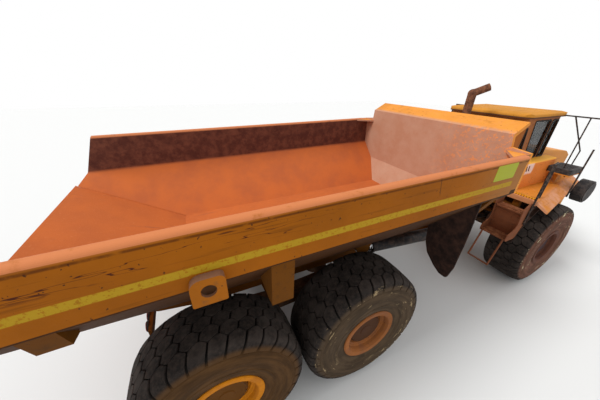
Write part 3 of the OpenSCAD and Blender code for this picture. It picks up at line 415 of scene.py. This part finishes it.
tyre_shape = Shape()
for k in range(pitches):
    for column, (left, right_edge) in enumerate(zip(columns, columns[1:])):
        hexagon = ((left - point + half_groove, narrow), (left + point + half_groove * 0.4, wide),
                   (right_edge - point - half_groove * 0.4, wide), (right_edge + point - half_groove, narrow))
        block(tyre_shape, hexagon, (k + 0.5 * (column % 2)) * pitch)
    for side in (-1, 1):
        shoulder = ((columns[-1] - point + half_groove, narrow),
                    (columns[-1] + point + half_groove * 0.4, wide), (block_end, wide * 0.93))
        if side < 0:
            shoulder = tuple((-along, half) for along, half in reversed(shoulder))
        block(tyre_shape, shoulder, (k + 0.5) * pitch)
# side wall from the tread down to the bead: distance from the tyre's middle, radius
wall = [(0.3600, 0.765), (0.3600, 0.757), (0.3675, 0.742), (0.3725, 0.700), (0.3745, 0.655),
        (0.3745, 0.640), (0.3715, 0.632), (0.3715, 0.610), (0.3690, 0.575), (0.3650, 0.545),
        (0.3695, 0.540), (0.3695, 0.530), (0.3590, 0.515), (0.3500, 0.480), (0.3420, 0.440),
        (0.3350, 0.413), (0.3290, 0.407), (0.3290, 0.347)]
crown = [on_tread(along, groove(along)) for along in np.linspace(0, block_end, 15)]
half_profile = crown + wall
profile = half_profile + [(-y, radius) for y, radius in reversed(half_profile[1:])]
turns = 144
rings = []
for k in range(turns):
    angle = 2 * math.pi * k / turns
    rings.append([(radius * math.sin(angle), y, radius * math.cos(angle)) for y, radius in profile])
tyre_shape.loft(rings, closed=True)
# colours of the side wall's dust and of its chips, and how many chips there are
wall_dirt = {"f": ((0.150, 0.068, 0.044), (0.55, 0.48, 0.30), 0.59),
             "m": ((0.080, 0.052, 0.030), (0.33, 0.24, 0.13), 0.59),
             "r": ((0.088, 0.042, 0.014), (0.17, 0.10, 0.04), 0.66)}
for axle, (dust, chip, chip_level) in wall_dirt.items():
    finishes = []
    for name in ("tyre wall ", "tyre blocks "):
        rubber = Finish(name + axle)
        radius = (rubber.axis(0) ** 2 + rubber.axis(2) ** 2) ** 0.5
        angle = rubber.axis(0).maths("ARCTAN2", rubber.axis(0), rubber.axis(2))
        polar = rubber.node("ShaderNodeCombineXYZ", None, {0: angle, 1: radius * 9, 2: rubber.axis(1) * 3})
        scuff, grain = rubber.cloud(1.6, 6, 0.65, where=polar), rubber.cloud(24, 6, 0.75)
        black = rubber.mix(grain.rises(0.35, 0.75), (0.013, 0.011, 0.010), (0.045, 0.033, 0.027))
        if name == "tyre wall ":
            outside = rubber.axis(1).rises(0.30, 0.33)
            dusty = rubber.mix(scuff.rises(0.35, 0.65), dust, tuple(c * 0.55 for c in dust))
            colour = rubber.mix(radius.rises(0.83, 0.78), (0.008, 0.007, 0.006), dusty)
            chips = rubber.cloud(2.2, 7, 0.72, (1, 0.7, 1), (4, 1, 0), polar)
            chips = chips.rises(chip_level, chip_level + 0.05)
            colour = rubber.mix(chips * outside * radius.rises(0.50, 0.66), colour, chip)
        else:
            worn = rubber.cloud(5, 3, 0.5).rises(0.4, 0.7) * radius.rises(0.84, 0.90)
            colour = rubber.mix(worn * 0.6, black, (0.060, 0.047, 0.040))
            colour = rubber.mix(radius.rises(0.86, 0.80) * 0.8, colour, dust)
            chips = rubber.cloud(2.6, 7, 0.72, (1, 0.7, 1), (4, 1, 0), polar)
            chips = chips.rises(chip_level, chip_level + 0.04)
            outer = rubber.axis(1).rises(0.31, 0.34)
            colour = rubber.mix(chips * outer, colour, chip)
        finishes.append(rubber.paint(colour, 0.88, grain, 0.0025))
    for side in "rl":
        wheel = axle + side
        tyre = piece("block_tyre_" + wheel, tyre_shape.mesh("tyre", *finishes, smooth=28),
                     "wheel_" + wheel, wheels[wheel], math.pi if side == "r" else 0)
        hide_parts("tyre_" + wheel)

# Bed floor: thick wear plate with a ramp to the tail, scoured by rock and covered in
# bright orange dust.
floor_steel = Finish("bed floor steel")
lumps, grit = floor_steel.cloud(1.6, 6, 0.6), floor_steel.cloud(30, 5, 0.7)
dusty = floor_steel.mix(lumps.rises(0.3, 0.7), (0.510, 0.125, 0.030), (0.440, 0.108, 0.030))
dusty = floor_steel.mix(grit.rises(0.55, 0.75) * 0.4, dusty, (0.60, 0.21, 0.085))
scrapes = floor_steel.cloud(4, 4, 0.6, (0.2, 2.5, 1), (7, 0, 0)).rises(0.60, 0.72)
dusty = floor_steel.mix(scrapes * 0.5, dusty, (0.30, 0.085, 0.040))
dusty_steel = floor_steel.paint(dusty, 0.85, grit, 0.003)
dress(dusty_steel, "bed_floor")
# weld beads where the tail ramp meets the two sides, in the bed's own raked plane
rake, rim_height = math.radians(0.5), 3.200
fold, tail = Vector((-3.860, 0.930, 1.900)), Vector((-5.250, 1.453, 2.477))
bead_radius, bead_steps, bead_sides = 0.011, 60, 8
for side, word in ((-1, "right"), (1, "left")):
    bead = Shape()
    rings = []
    for k in range(bead_steps + 1):
        middle = fold.lerp(tail, k / bead_steps)
        swell = bead_radius * (1 + 0.12 * math.cos(k * math.pi))
        ring = []
        for j in range(bead_sides):
            angle = 2 * math.pi * j / bead_sides
            ahead_of_pivot = middle.x - middle_axle_x
            above_pivot = middle.z + swell * math.cos(angle) - rim_height
            ring.append((middle_axle_x + ahead_of_pivot * math.cos(rake) - above_pivot * math.sin(rake),
                         side * (middle.y + swell * math.sin(angle)),
                         rim_height + above_pivot * math.cos(rake) + ahead_of_pivot * math.sin(rake)))
        rings.append(ring)
    bead.loft(rings)
    piece("ramp_weld_" + word, bead.mesh("weld", dusty_steel, smooth=60), "bed")

# Bed sides: one bent steel side each, with a rounded rim. The outside is yellow paint, darkened with painted
# shade, with a bright tape stripe, scratched and dusty, a band of painted shade below the panel and a line of
# painted shade under the rim; the inside is bare steel under dust, its upper band painted shade over
# rust-brown mottling.
# The outside's yellow base is set well below the deck's, at the tone of a side in shade: painted shade.
side_paint, side_colour, side_grain = worn_paint("bed side paint", (0.325, 0.094, 0.0015),
                                                 (0.280, 0.084, 0.004), dirt=0.45)
above = side_paint.axis(2) - (side_paint.axis(0) - middle_axle_x) * math.tan(rake)
across = abs(side_paint.axis(1))
scratch = side_paint.cloud(2.2, 3, 0.55, (0.30, 1, 4.2), (5, 0, 2))
scratched = abs(scratch - 0.55).rises(0.007, 0.002) * above.between(2.98, 3.13, 0.03) \
    * side_paint.axis(0).rises(-2.2, -3.4)
side_colour = side_paint.mix(scratched, side_colour, (0.060, 0.012, 0.004))
faded = side_paint.axis(0).rises(-1.0, 0.3)
side_colour = side_paint.mix(faded * 0.6, side_colour, (0.330, 0.165, 0.060))
tape = above.between(2.842, 2.908, 0.004) * side_paint.axis(0).between(-4.72, 0.05, 0.01)
tape_wear = side_paint.cloud(30, 5, 0.75, (1, 1, 1), (2, 5, 1)).rises(0.60, 0.52)
side_colour = side_paint.mix(tape * (0.35 + tape_wear * 0.6), side_colour, (0.400, 0.245, 0.012))
crack = abs(side_paint.axis(0) + 1.30 + (above - 2.9) * 0.25).rises(0.006, 0.002) * above.rises(2.95, 3.0)
side_colour = side_paint.mix(crack * 0.85, side_colour, (0.030, 0.012, 0.006))
inside = across.rises(1.640, 1.610) * side_paint.tilt(2).rises(-0.35, -0.15)
slope_dust = side_paint.mix(side_paint.cloud(2.2, 6, 0.65).rises(0.3, 0.75),
                            (0.570, 0.146, 0.036), (0.460, 0.120, 0.040))
# The upper band of the inner walls is painted shade: dark brown, with rust-brown mottling from the noise.
shade_and_rust_band = side_paint.mix(side_paint.cloud(7, 6, 0.7).rises(0.35, 0.7),
                           (0.085, 0.028, 0.020), (0.170, 0.062, 0.038))
inner_steel = side_paint.mix(above.rises(2.62, 2.68), slope_dust, shade_and_rust_band)
side_colour = side_paint.mix(inside, side_colour, inner_steel)
# Below the side panel the bed slope's underside is painted near black: painted shade.
painted_underside_shade = (1 - inside) * above.rises(2.713, 2.707)
side_colour = side_paint.mix(painted_underside_shade * 0.9, side_colour, (0.028, 0.011, 0.004))
# A dark line along the lower side of the rim roll, broken up by noise, is painted shade.
crease = (1 - inside) * above.between(3.138, 3.156, 0.006)
rim_crease_shade = crease * side_paint.cloud(9, 4).rises(0.25, 0.5) * 0.7
side_colour = side_paint.mix(rim_crease_shade, side_colour, (0.060, 0.012, 0.001))
rim_wear = above.rises(3.15, 3.175) * side_paint.tilt(2).rises(0.05, 0.35) \
    * side_paint.cloud(5, 5, 0.7).rises(0.20, 0.45)
side_colour = side_paint.mix(rim_wear * 0.85, side_colour, (0.560, 0.190, 0.075))
dress(side_paint.paint(side_colour, 0.62 + side_grain * 0.3, side_grain), "bed_sides")

# Number plates: thin blank sheets of bright lime, stuck on the bed sides near their front.
lime = Finish("lime sheet")
lime_colour = lime.mix(lime.cloud(26, 5, 0.7).rises(0.5, 0.75) * 0.5,
                       (0.330, 0.350, 0.012), (0.30, 0.24, 0.05))
lime_sheet = lime.paint(lime_colour, 0.5)
bed_high = Vector(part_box("bed_sides")[1])
sheet_x, sheet_z, sheet_thick, corner_cut = (-0.400, 0.015), (2.962, 3.158), 0.0025, 0.012
for side in (-1, 1):
    sheet = Shape()
    rings = []
    for y, cut in ((bed_high.y + 0.0002, 0), (bed_high.y + sheet_thick, 0.001)):
        ring = []
        for x, z, turn_x, turn_z in ((sheet_x[0], sheet_z[0], 1, 1), (sheet_x[1], sheet_z[0], -1, 1),
                                     (sheet_x[1], sheet_z[1], -1, -1), (sheet_x[0], sheet_z[1], 1, -1)):
            corners = [(x + turn_x * (corner_cut + cut), z + turn_z * cut),
                       (x + turn_x * cut, z + turn_z * (corner_cut + cut))]
            if turn_x * turn_z > 0:
                corners.reverse()
            ring += [(px, side * y, pz + (px - middle_axle_x) * math.tan(rake)) for px, pz in corners]
        rings.append(ring)
    sheet.loft(rings)
    word = "right" if side < 0 else "left"
    piece("number_plate_" + word, sheet.mesh("plate", lime_sheet), "bed")

# Headboard: the bed's front wall, rusty and speckled with dust inside, with a bright
# yellow guard that leans forward at its top.
head_paint, head_colour, head_grain = worn_paint("headboard paint", (0.700, 0.265, 0.040),
                                                 (0.62, 0.25, 0.10))
speckle = head_paint.cloud(26, 6, 0.75)
plate = head_paint.mix(head_paint.cloud(2.5, 5).rises(0.3, 0.7),
                       (0.480, 0.270, 0.180), (0.440, 0.215, 0.130))
plate = head_paint.mix(speckle.rises(0.45, 0.75) * 0.4, plate, (0.40, 0.18, 0.11))
flecks = head_paint.cloud(16, 6, 0.8, (1, 1, 1), (1, 8, 3)).rises(0.50, 0.62) \
    * head_paint.axis(1).rises(-0.1, -1.1)
plate = head_paint.mix(flecks * 0.8, plate, (0.80, 0.270, 0.060))
behind = head_paint.tilt(0).rises(-0.2, -0.5) * head_paint.axis(2).rises(3.46, 3.42)
head_colour = head_paint.mix(behind, head_colour, plate)
dress(head_paint.paint(head_colour, 0.75, speckle), "headboard")

# Under the bed: beams, outriggers and tie eyes in the same yellow paint, dulled by mud; the beams and
# outriggers are further darkened with painted shade.
# The underbody yellow is darkened to the tone of the shade under the bed: painted shade, with mud mixed in.
under_paint, under_colour, under_grain = worn_paint("underbody paint", (0.130, 0.042, 0.001),
                                                    (0.060, 0.024, 0.006), dirt=0.7)
dress(under_paint.paint(under_colour, 0.8, under_grain), "bed_ribs")
eye_paint, eye_colour, eye_grain = worn_paint("tie eye paint", (0.360, 0.108, 0.004),
                                              (0.16, 0.065, 0.020), dirt=0.7)
eye_top = eye_paint.tilt(2).rises(0.1, 0.6)
eye_colour = eye_paint.mix(eye_top * 0.8, eye_colour, (0.17, 0.095, 0.065))
dress(eye_paint.paint(eye_colour, 0.75, eye_grain), "tie_eyes")

# Mudflaps: thick rubber sheets hung from the bed, brown with dried mud.
flap = Finish("mudflap rubber")
mud = flap.cloud(7, 6, 0.7)
flap_colour = flap.mix(mud.rises(0.35, 0.7), (0.022, 0.013, 0.011), (0.070, 0.034, 0.024))
dress(flap.paint(flap_colour, 0.9, mud, 0.004), "mudflaps")

# Deck: steel fenders over the front wheels, yellow where boots have polished them and pink
# with dust near their edges, with a strip of raised grip teeth at the rear and painted shade in the notches
# between them.
deck_paint, deck_colour, deck_grain = worn_paint("deck paint", (0.560, 0.190, 0.018),
                                                 (0.55, 0.23, 0.11), dirt=0.5)
deck_low, deck_high = (Vector(corner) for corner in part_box("fenders"))
# rear edge of the flat deck, a little ahead of the rear end of its slanted edges
deck_back = deck_low.x + 0.016
edge_run = abs(deck_paint.axis(1)) + (deck_paint.axis(0) - deck_back) * 0.1786
edge_dust = edge_run.rises(1.36, 1.52) * deck_paint.cloud(4, 5, 0.7).rises(0.35, 0.6)
deck_colour = deck_paint.mix(edge_dust * 0.8, deck_colour, (0.560, 0.265, 0.155))
foot_board = deck_paint.axis(0).rises(deck_back + 0.032, deck_back + 0.026)
deck_colour = deck_paint.mix(foot_board * 0.6, deck_colour, (0.56, 0.27, 0.16))
tooth_count, first_tooth, tooth_pitch, tooth_half, tooth_rise = 9, 1.015, 0.042, 0.011, 0.022
strip_start, strip_end = deck_back + 0.036, deck_back + 0.165
# Between the teeth the deck top is painted near black: painted shade.
notch_run = (abs(deck_paint.axis(1)) - 0.985) * (1 / tooth_pitch)
notch_phase = notch_run.maths("FRACT", notch_run)
painted_notch_shade = notch_phase.rises(0.46, 0.42) \
    * deck_paint.axis(0).between(strip_start - 0.004, strip_end, 0.002) \
    * abs(deck_paint.axis(1)).between(0.98, 1.385, 0.002) \
    * deck_paint.axis(2).rises(deck_high.z + 0.003, deck_high.z + 0.001)
deck_colour = deck_paint.mix(painted_notch_shade * 0.95, deck_colour, (0.014, 0.007, 0.004))
tooth_face = deck_paint.axis(2).rises(deck_high.z + 0.003, deck_high.z + 0.005)
deck_colour = deck_paint.mix(tooth_face * 0.9, deck_colour, (0.800, 0.330, 0.016))
deck_steel = deck_paint.paint(deck_colour, 0.7, deck_grain)
dress(deck_steel, "fenders")
for side, word in ((-1, "right"), (1, "left")):
    teeth = Shape()
    for k in range(tooth_count):
        y, z = side * (first_tooth + tooth_pitch * k), deck_high.z
        outline = ((strip_start, z - 0.001), (strip_start + 0.004, z + tooth_rise * 0.8),
                   (strip_start + 0.012, z + tooth_rise), (strip_end - 0.014, z + 0.004),
                   (strip_end, z - 0.001))
        teeth.loft([[(x, y + off, z0) for x, z0 in outline] for off in (-tooth_half, tooth_half)])
    piece("deck_teeth_" + word, teeth.mesh("deck teeth", deck_steel), "front_unit")
arch_steel = Finish("arch liner steel")
arch_mud = arch_steel.cloud(8, 6, 0.7)
arch_colour = arch_steel.mix(arch_mud.rises(0.35, 0.7), (0.020, 0.013, 0.011), (0.085, 0.048, 0.034))
dress(arch_steel.paint(arch_colour, 0.9, arch_mud, 0.004), "arch_liners")

# Steps: bent plate stairs behind the front wheels, rusty brown and worn at the treads.
step_paint, step_colour, step_grain = worn_paint("step paint", (0.230, 0.078, 0.034),
                                                 (0.130, 0.056, 0.034), dirt=0.8)
tread_wear = step_paint.tilt(2).rises(0.6, 0.9) * step_paint.cloud(12, 5).rises(0.4, 0.65)
step_colour = step_paint.mix(tread_wear * 0.7, step_colour, (0.400, 0.175, 0.080))
dress(step_paint.paint(step_colour, 0.75, step_grain), "steps")

# Handrails and mirror frames: bent tube in dark paint, chipped and dusty.
tube_paint = Finish("dark tube")
chip = tube_paint.cloud(22, 6, 0.7)
tube_colour = tube_paint.mix(chip.rises(0.45, 0.7), (0.022, 0.017, 0.016), (0.120, 0.075, 0.050))
dress(tube_paint.paint(tube_colour, 0.55, chip, 0.001), "handrails", "mirrors")

# Cab: welded pillars and a door, painted brown orange, under a bright yellow roof whose
# lower edge carries a band of painted shade, with tinted glass.
cab_paint, cab_colour, cab_grain = worn_paint("cab paint", (0.330, 0.105, 0.022),
                                              (0.28, 0.125, 0.055))
dress(cab_paint.paint(cab_colour, 0.6, cab_grain), "cab", "door_left")
cab_low, cab_high = (Vector(corner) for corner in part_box("cab"))
roof_low = Vector(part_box("cab_roof")[0])
roof_paint, roof_colour, roof_grain = worn_paint("roof paint", (0.560, 0.235, 0.028),
                                                 (0.54, 0.26, 0.07), dirt=0.4)
# The roof's lower edge is painted dark: painted shade.
roof_edge_shade = roof_paint.axis(2).rises(roof_low.z + 0.030, roof_low.z + 0.018)
roof_colour = roof_paint.mix(roof_edge_shade, roof_colour, (0.09, 0.035, 0.016))
dress(roof_paint.paint(roof_colour, 0.75, roof_grain, 0.001), "cab_roof")
glass = Finish("tinted glass")
glass.shader.inputs["Alpha"].default_value = 0.5
grime = glass.cloud(3, 5).rises(0.4, 0.7)
glass_colour = glass.mix(grime, (0.010, 0.013, 0.015), (0.035, 0.034, 0.032))
dress(glass.paint(glass_colour, 0.06 + grime * 0.2), "cab_glass", "door_glass_left")
trim = Finish("cab trim")
weave = trim.cloud(60, 3)
trim_colour = trim.mix(weave.rises(0.4, 0.7), (0.022, 0.022, 0.024), (0.045, 0.043, 0.042))
dress(trim.paint(trim_colour, 0.8, weave, 0.001), "seat_and_dash")


# Window seals: black rubber profiles pressed round each pane.
def pane_edge(corners, inset, radius, bend=5):
    """A pane's outline, moved inwards by inset, with its corners rounded."""
    moved = []
    lines = []
    for here, there in zip(corners, corners[1:] + corners[:1]):
        along = (Vector(there) - Vector(here)).normalized()
        lines.append((Vector(here) + Vector((-along.y, along.x)) * inset, along))
    for (start, along), (other, beside) in zip(lines[-1:] + lines[:-1], lines):
        cross = along.x * beside.y - along.y * beside.x
        gap = other - start
        moved.append((start + along * ((gap.x * beside.y - gap.y * beside.x) / cross), along, beside))
    edge = []
    for corner, along, beside in moved:
        for k in range(bend + 1):
            part = k / bend
            edge.append(corner - along * radius * (1 - part) ** 2 + beside * radius * part ** 2)
    return edge


def seal(shape, corners, radius, place):
    """A rubber profile round a pane; place turns u, v and height off the panel into a point."""
    outside, inside = 0.014, 0.012
    outer = pane_edge(corners, -outside, radius + outside)
    inner = pane_edge(corners, inside, max(radius - inside, 0.005))
    rings = []
    for (ou, ov), (iu, iv) in zip(outer, inner):
        mu, mv = (ou + iu) / 2, (ov + iv) / 2
        rings.append([place(ou, ov, 0.0005), place(ou, ov, 0.006), place(mu, mv, 0.010), place(iu, iv, 0.005),
                      place(iu, iv, -0.010), place(mu, mv, 0.0005)])
    shape.loft(rings, closed=True)


def upright_pane(u0, u1, v0, v1):
    return [(u0, v0), (u1, v0), (u1, v1), (u0, v1)]


sill, window_top, cab_half = cab_low.z + 0.60, cab_high.z - 0.06, 0.750
back, front = cab_low.x, cab_high.x
rubber_seals = Shape()
narrow_top = window_top - 0.120
narrow_pane = [(back + 0.080, sill), (back + 0.250, sill), (back + 0.112, narrow_top),
               (back + 0.080, narrow_top)]
main_pane = [(back + 0.450, sill), (back + 0.880, sill), (back + 0.880, window_top),
             (back + 0.300, window_top)]
quarter_pane = upright_pane(back + 0.940, front - 0.080, sill, window_top)
for corners, radius in ((narrow_pane, 0.015), (main_pane, 0.040), (quarter_pane, 0.040)):
    seal(rubber_seals, corners, radius, lambda u, v, out: (u, -cab_half - out, v))
seal(rubber_seals, upright_pane(back + 1.110, front - 0.070, sill, window_top), 0.020,
     lambda u, v, out: (u, cab_half + out, v))
seal(rubber_seals, upright_pane(-cab_half + 0.11, cab_half - 0.11, sill, window_top), 0.040,
     lambda u, v, out: (back - out, u, v))
seal(rubber_seals, upright_pane(-cab_half + 0.09, cab_half - 0.09, sill - 0.06, window_top), 0.040,
     lambda u, v, out: (front + out, u, v))
seal_rubber = Finish("seal rubber")
seal_grain = seal_rubber.cloud(30, 4)
seal_colour = seal_rubber.mix(seal_grain.rises(0.4, 0.7), (0.012, 0.011, 0.011), (0.050, 0.036, 0.028))
black_rubber = seal_rubber.paint(seal_colour, 0.7)
piece("window_seals", rubber_seals.mesh("seals", black_rubber), "front_unit")
door_seals = Shape()
seal(door_seals, upright_pane(back + 0.256, back + 0.984, sill - 0.06, window_top - 0.07), 0.050,
     lambda u, v, out: (u, cab_half - 0.005 + out * 0.8, v))
piece("door_seal", door_seals.mesh("door seal", black_rubber), "door_left")

# Side box: a sheet steel cover along the cab's right side, with a bright ledge on top
# and a pale worn patch round its slanted vents, whose insides are painted black as painted shade.
box_paint, box_colour, box_grain = worn_paint("side box paint", (0.700, 0.200, 0.030), (0.64, 0.22, 0.07))
side_low, side_high = (Vector(corner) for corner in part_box("side_box"))
ledge = box_paint.tilt(2).rises(0.3, 0.8)
box_colour = box_paint.mix(ledge, box_colour, (0.720, 0.330, 0.030))
patch_edge = box_paint.cloud(9, 4) * 0.10
patch = (box_paint.axis(0) + patch_edge).rises(side_low.x + 0.56, side_low.x + 0.50) \
    * (box_paint.axis(2) + patch_edge).rises(side_high.z - 0.20, side_high.z - 0.16)
box_colour = box_paint.mix(patch * (1 - ledge), box_colour, (0.760, 0.520, 0.440))
# Inside the vent slots the steel is painted near black: painted shade.
slot_depth = box_paint.axis(1).rises(side_low.y + 0.001, side_low.y + 0.006) \
    * box_paint.axis(1).rises(side_low.y + 0.034, side_low.y + 0.031) \
    * box_paint.axis(2).between(side_high.z - 0.178, side_high.z - 0.056, 0.002)
painted_slot_shade = slot_depth * box_paint.axis(0).rises(side_low.x + 0.40, side_low.x + 0.38) \
    * box_paint.axis(0).rises(side_low.x + 0.02, side_low.x + 0.03)
box_colour = box_paint.mix(painted_slot_shade, box_colour, (0.010, 0.008, 0.008))
dress(box_paint.paint(box_colour, 0.65, box_grain), "side_box")

# Intake box and air drum: moulded and pressed covers ahead of the cab, nearly black.
intake = Finish("dark covers")
intake_low, pedestal_height = Vector(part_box("intake_box")[0]), 0.285
cover_dust = intake.cloud(9, 6, 0.7)
cover_colour = intake.mix(cover_dust.rises(0.35, 0.7), (0.016, 0.015, 0.016), (0.070, 0.055, 0.048))
pedestal = intake.axis(2).rises(intake_low.z + pedestal_height, intake_low.z + pedestal_height - 0.004)
pedestal_colour = intake.mix(cover_dust.rises(0.4, 0.7), (0.480, 0.165, 0.016), (0.22, 0.09, 0.04))
cover_colour = intake.mix(pedestal, cover_colour, pedestal_colour)
dress(intake.paint(cover_colour, 0.6, cover_dust, 0.001), "intake_box")
covers = Finish("pressed dark covers")
film = covers.cloud(9, 6, 0.7)
pressed_colour = covers.mix(film.rises(0.35, 0.7), (0.016, 0.015, 0.016), (0.070, 0.055, 0.048))
dress(covers.paint(pressed_colour, 0.6, film, 0.001), "air_drum", "grille")

# Hood and bumper: a pressed steel hood that tilts forward over the engine, in the
# brightest yellow of the truck, with a plain nose bumper below it.
hood_paint, hood_colour, hood_grain = worn_paint("hood paint", (0.600, 0.230, 0.022),
                                                 (0.52, 0.24, 0.10), dirt=0.45)
dress(hood_paint.paint(hood_colour, 0.5, hood_grain, 0.001), "hood", "bumper")

# Exhaust: a silencer and stack behind the cab, scaled with rust.
stack = Finish("rusty stack")
scale = stack.cloud(18, 6, 0.7)
stack_colour = stack.mix(scale.rises(0.35, 0.7), (0.075, 0.032, 0.020), (0.230, 0.095, 0.048))
dress(stack.paint(stack_colour, 0.9, scale), "exhaust")

# Lamps: clear lenses in the bumper and red ones on the tail bar, each in a black ring.
lens = Finish("lamp lens")
lens_colour = lens.mix(lens.cloud(40).rises(0.4, 0.7), (0.72, 0.72, 0.68), (0.52, 0.50, 0.45))
dress(lens.paint(lens_colour, 0.12), "lamps")
red_lens = Finish("red lens")
red_colour = red_lens.mix(red_lens.cloud(40).rises(0.4, 0.7), (0.42, 0.012, 0.008), (0.22, 0.03, 0.018))
dress(red_lens.paint(red_colour, 0.2), "tail_lamps")


def lamp_ring(shape, centre, axis, inner, outer, height, count=32):
    """A flat ring round a lamp, rounded at its crown."""
    axis = Vector(axis).normalized()
    across = axis.orthogonal().normalized()
    beside = axis.cross(across)
    rings = []
    for k in range(count):
        angle = 2 * math.pi * k / count
        ray_out = across * math.cos(angle) + beside * math.sin(angle)
        section = ((inner, 0), (inner, height * 0.8), ((inner + outer) / 2, height),
                   (outer, height * 0.7), (outer, 0))
        rings.append([Vector(centre) + ray_out * radius + axis * lift for radius, lift in section])
    shape.loft(rings, closed=True)


tail_high, tail_lamp_z = Vector(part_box("tail_lamps")[1]), 1.380
tail_rings = Shape()
for y in (-0.70, -0.56, 0.56, 0.70):
    lamp_ring(tail_rings, (tail_high.x - 0.0004, y, tail_lamp_z), (-1, 0, 0), 0.0555, 0.066, 0.028)
piece("tail_lamp_rings", tail_rings.mesh("tail lamp rings", black_rubber), "rear_unit")
nose_low, head_lamp_z = Vector(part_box("lamps")[0]), 1.300
nose_rings = Shape()
for y in (-0.64, -0.48, 0.48, 0.64):
    lamp_ring(nose_rings, (nose_low.x - 0.0002, y, head_lamp_z), (1, 0, 0), 0.0655, 0.076, 0.0095)
piece("head_lamp_rings", nose_rings.mesh("head lamp rings", black_rubber), "front_unit")
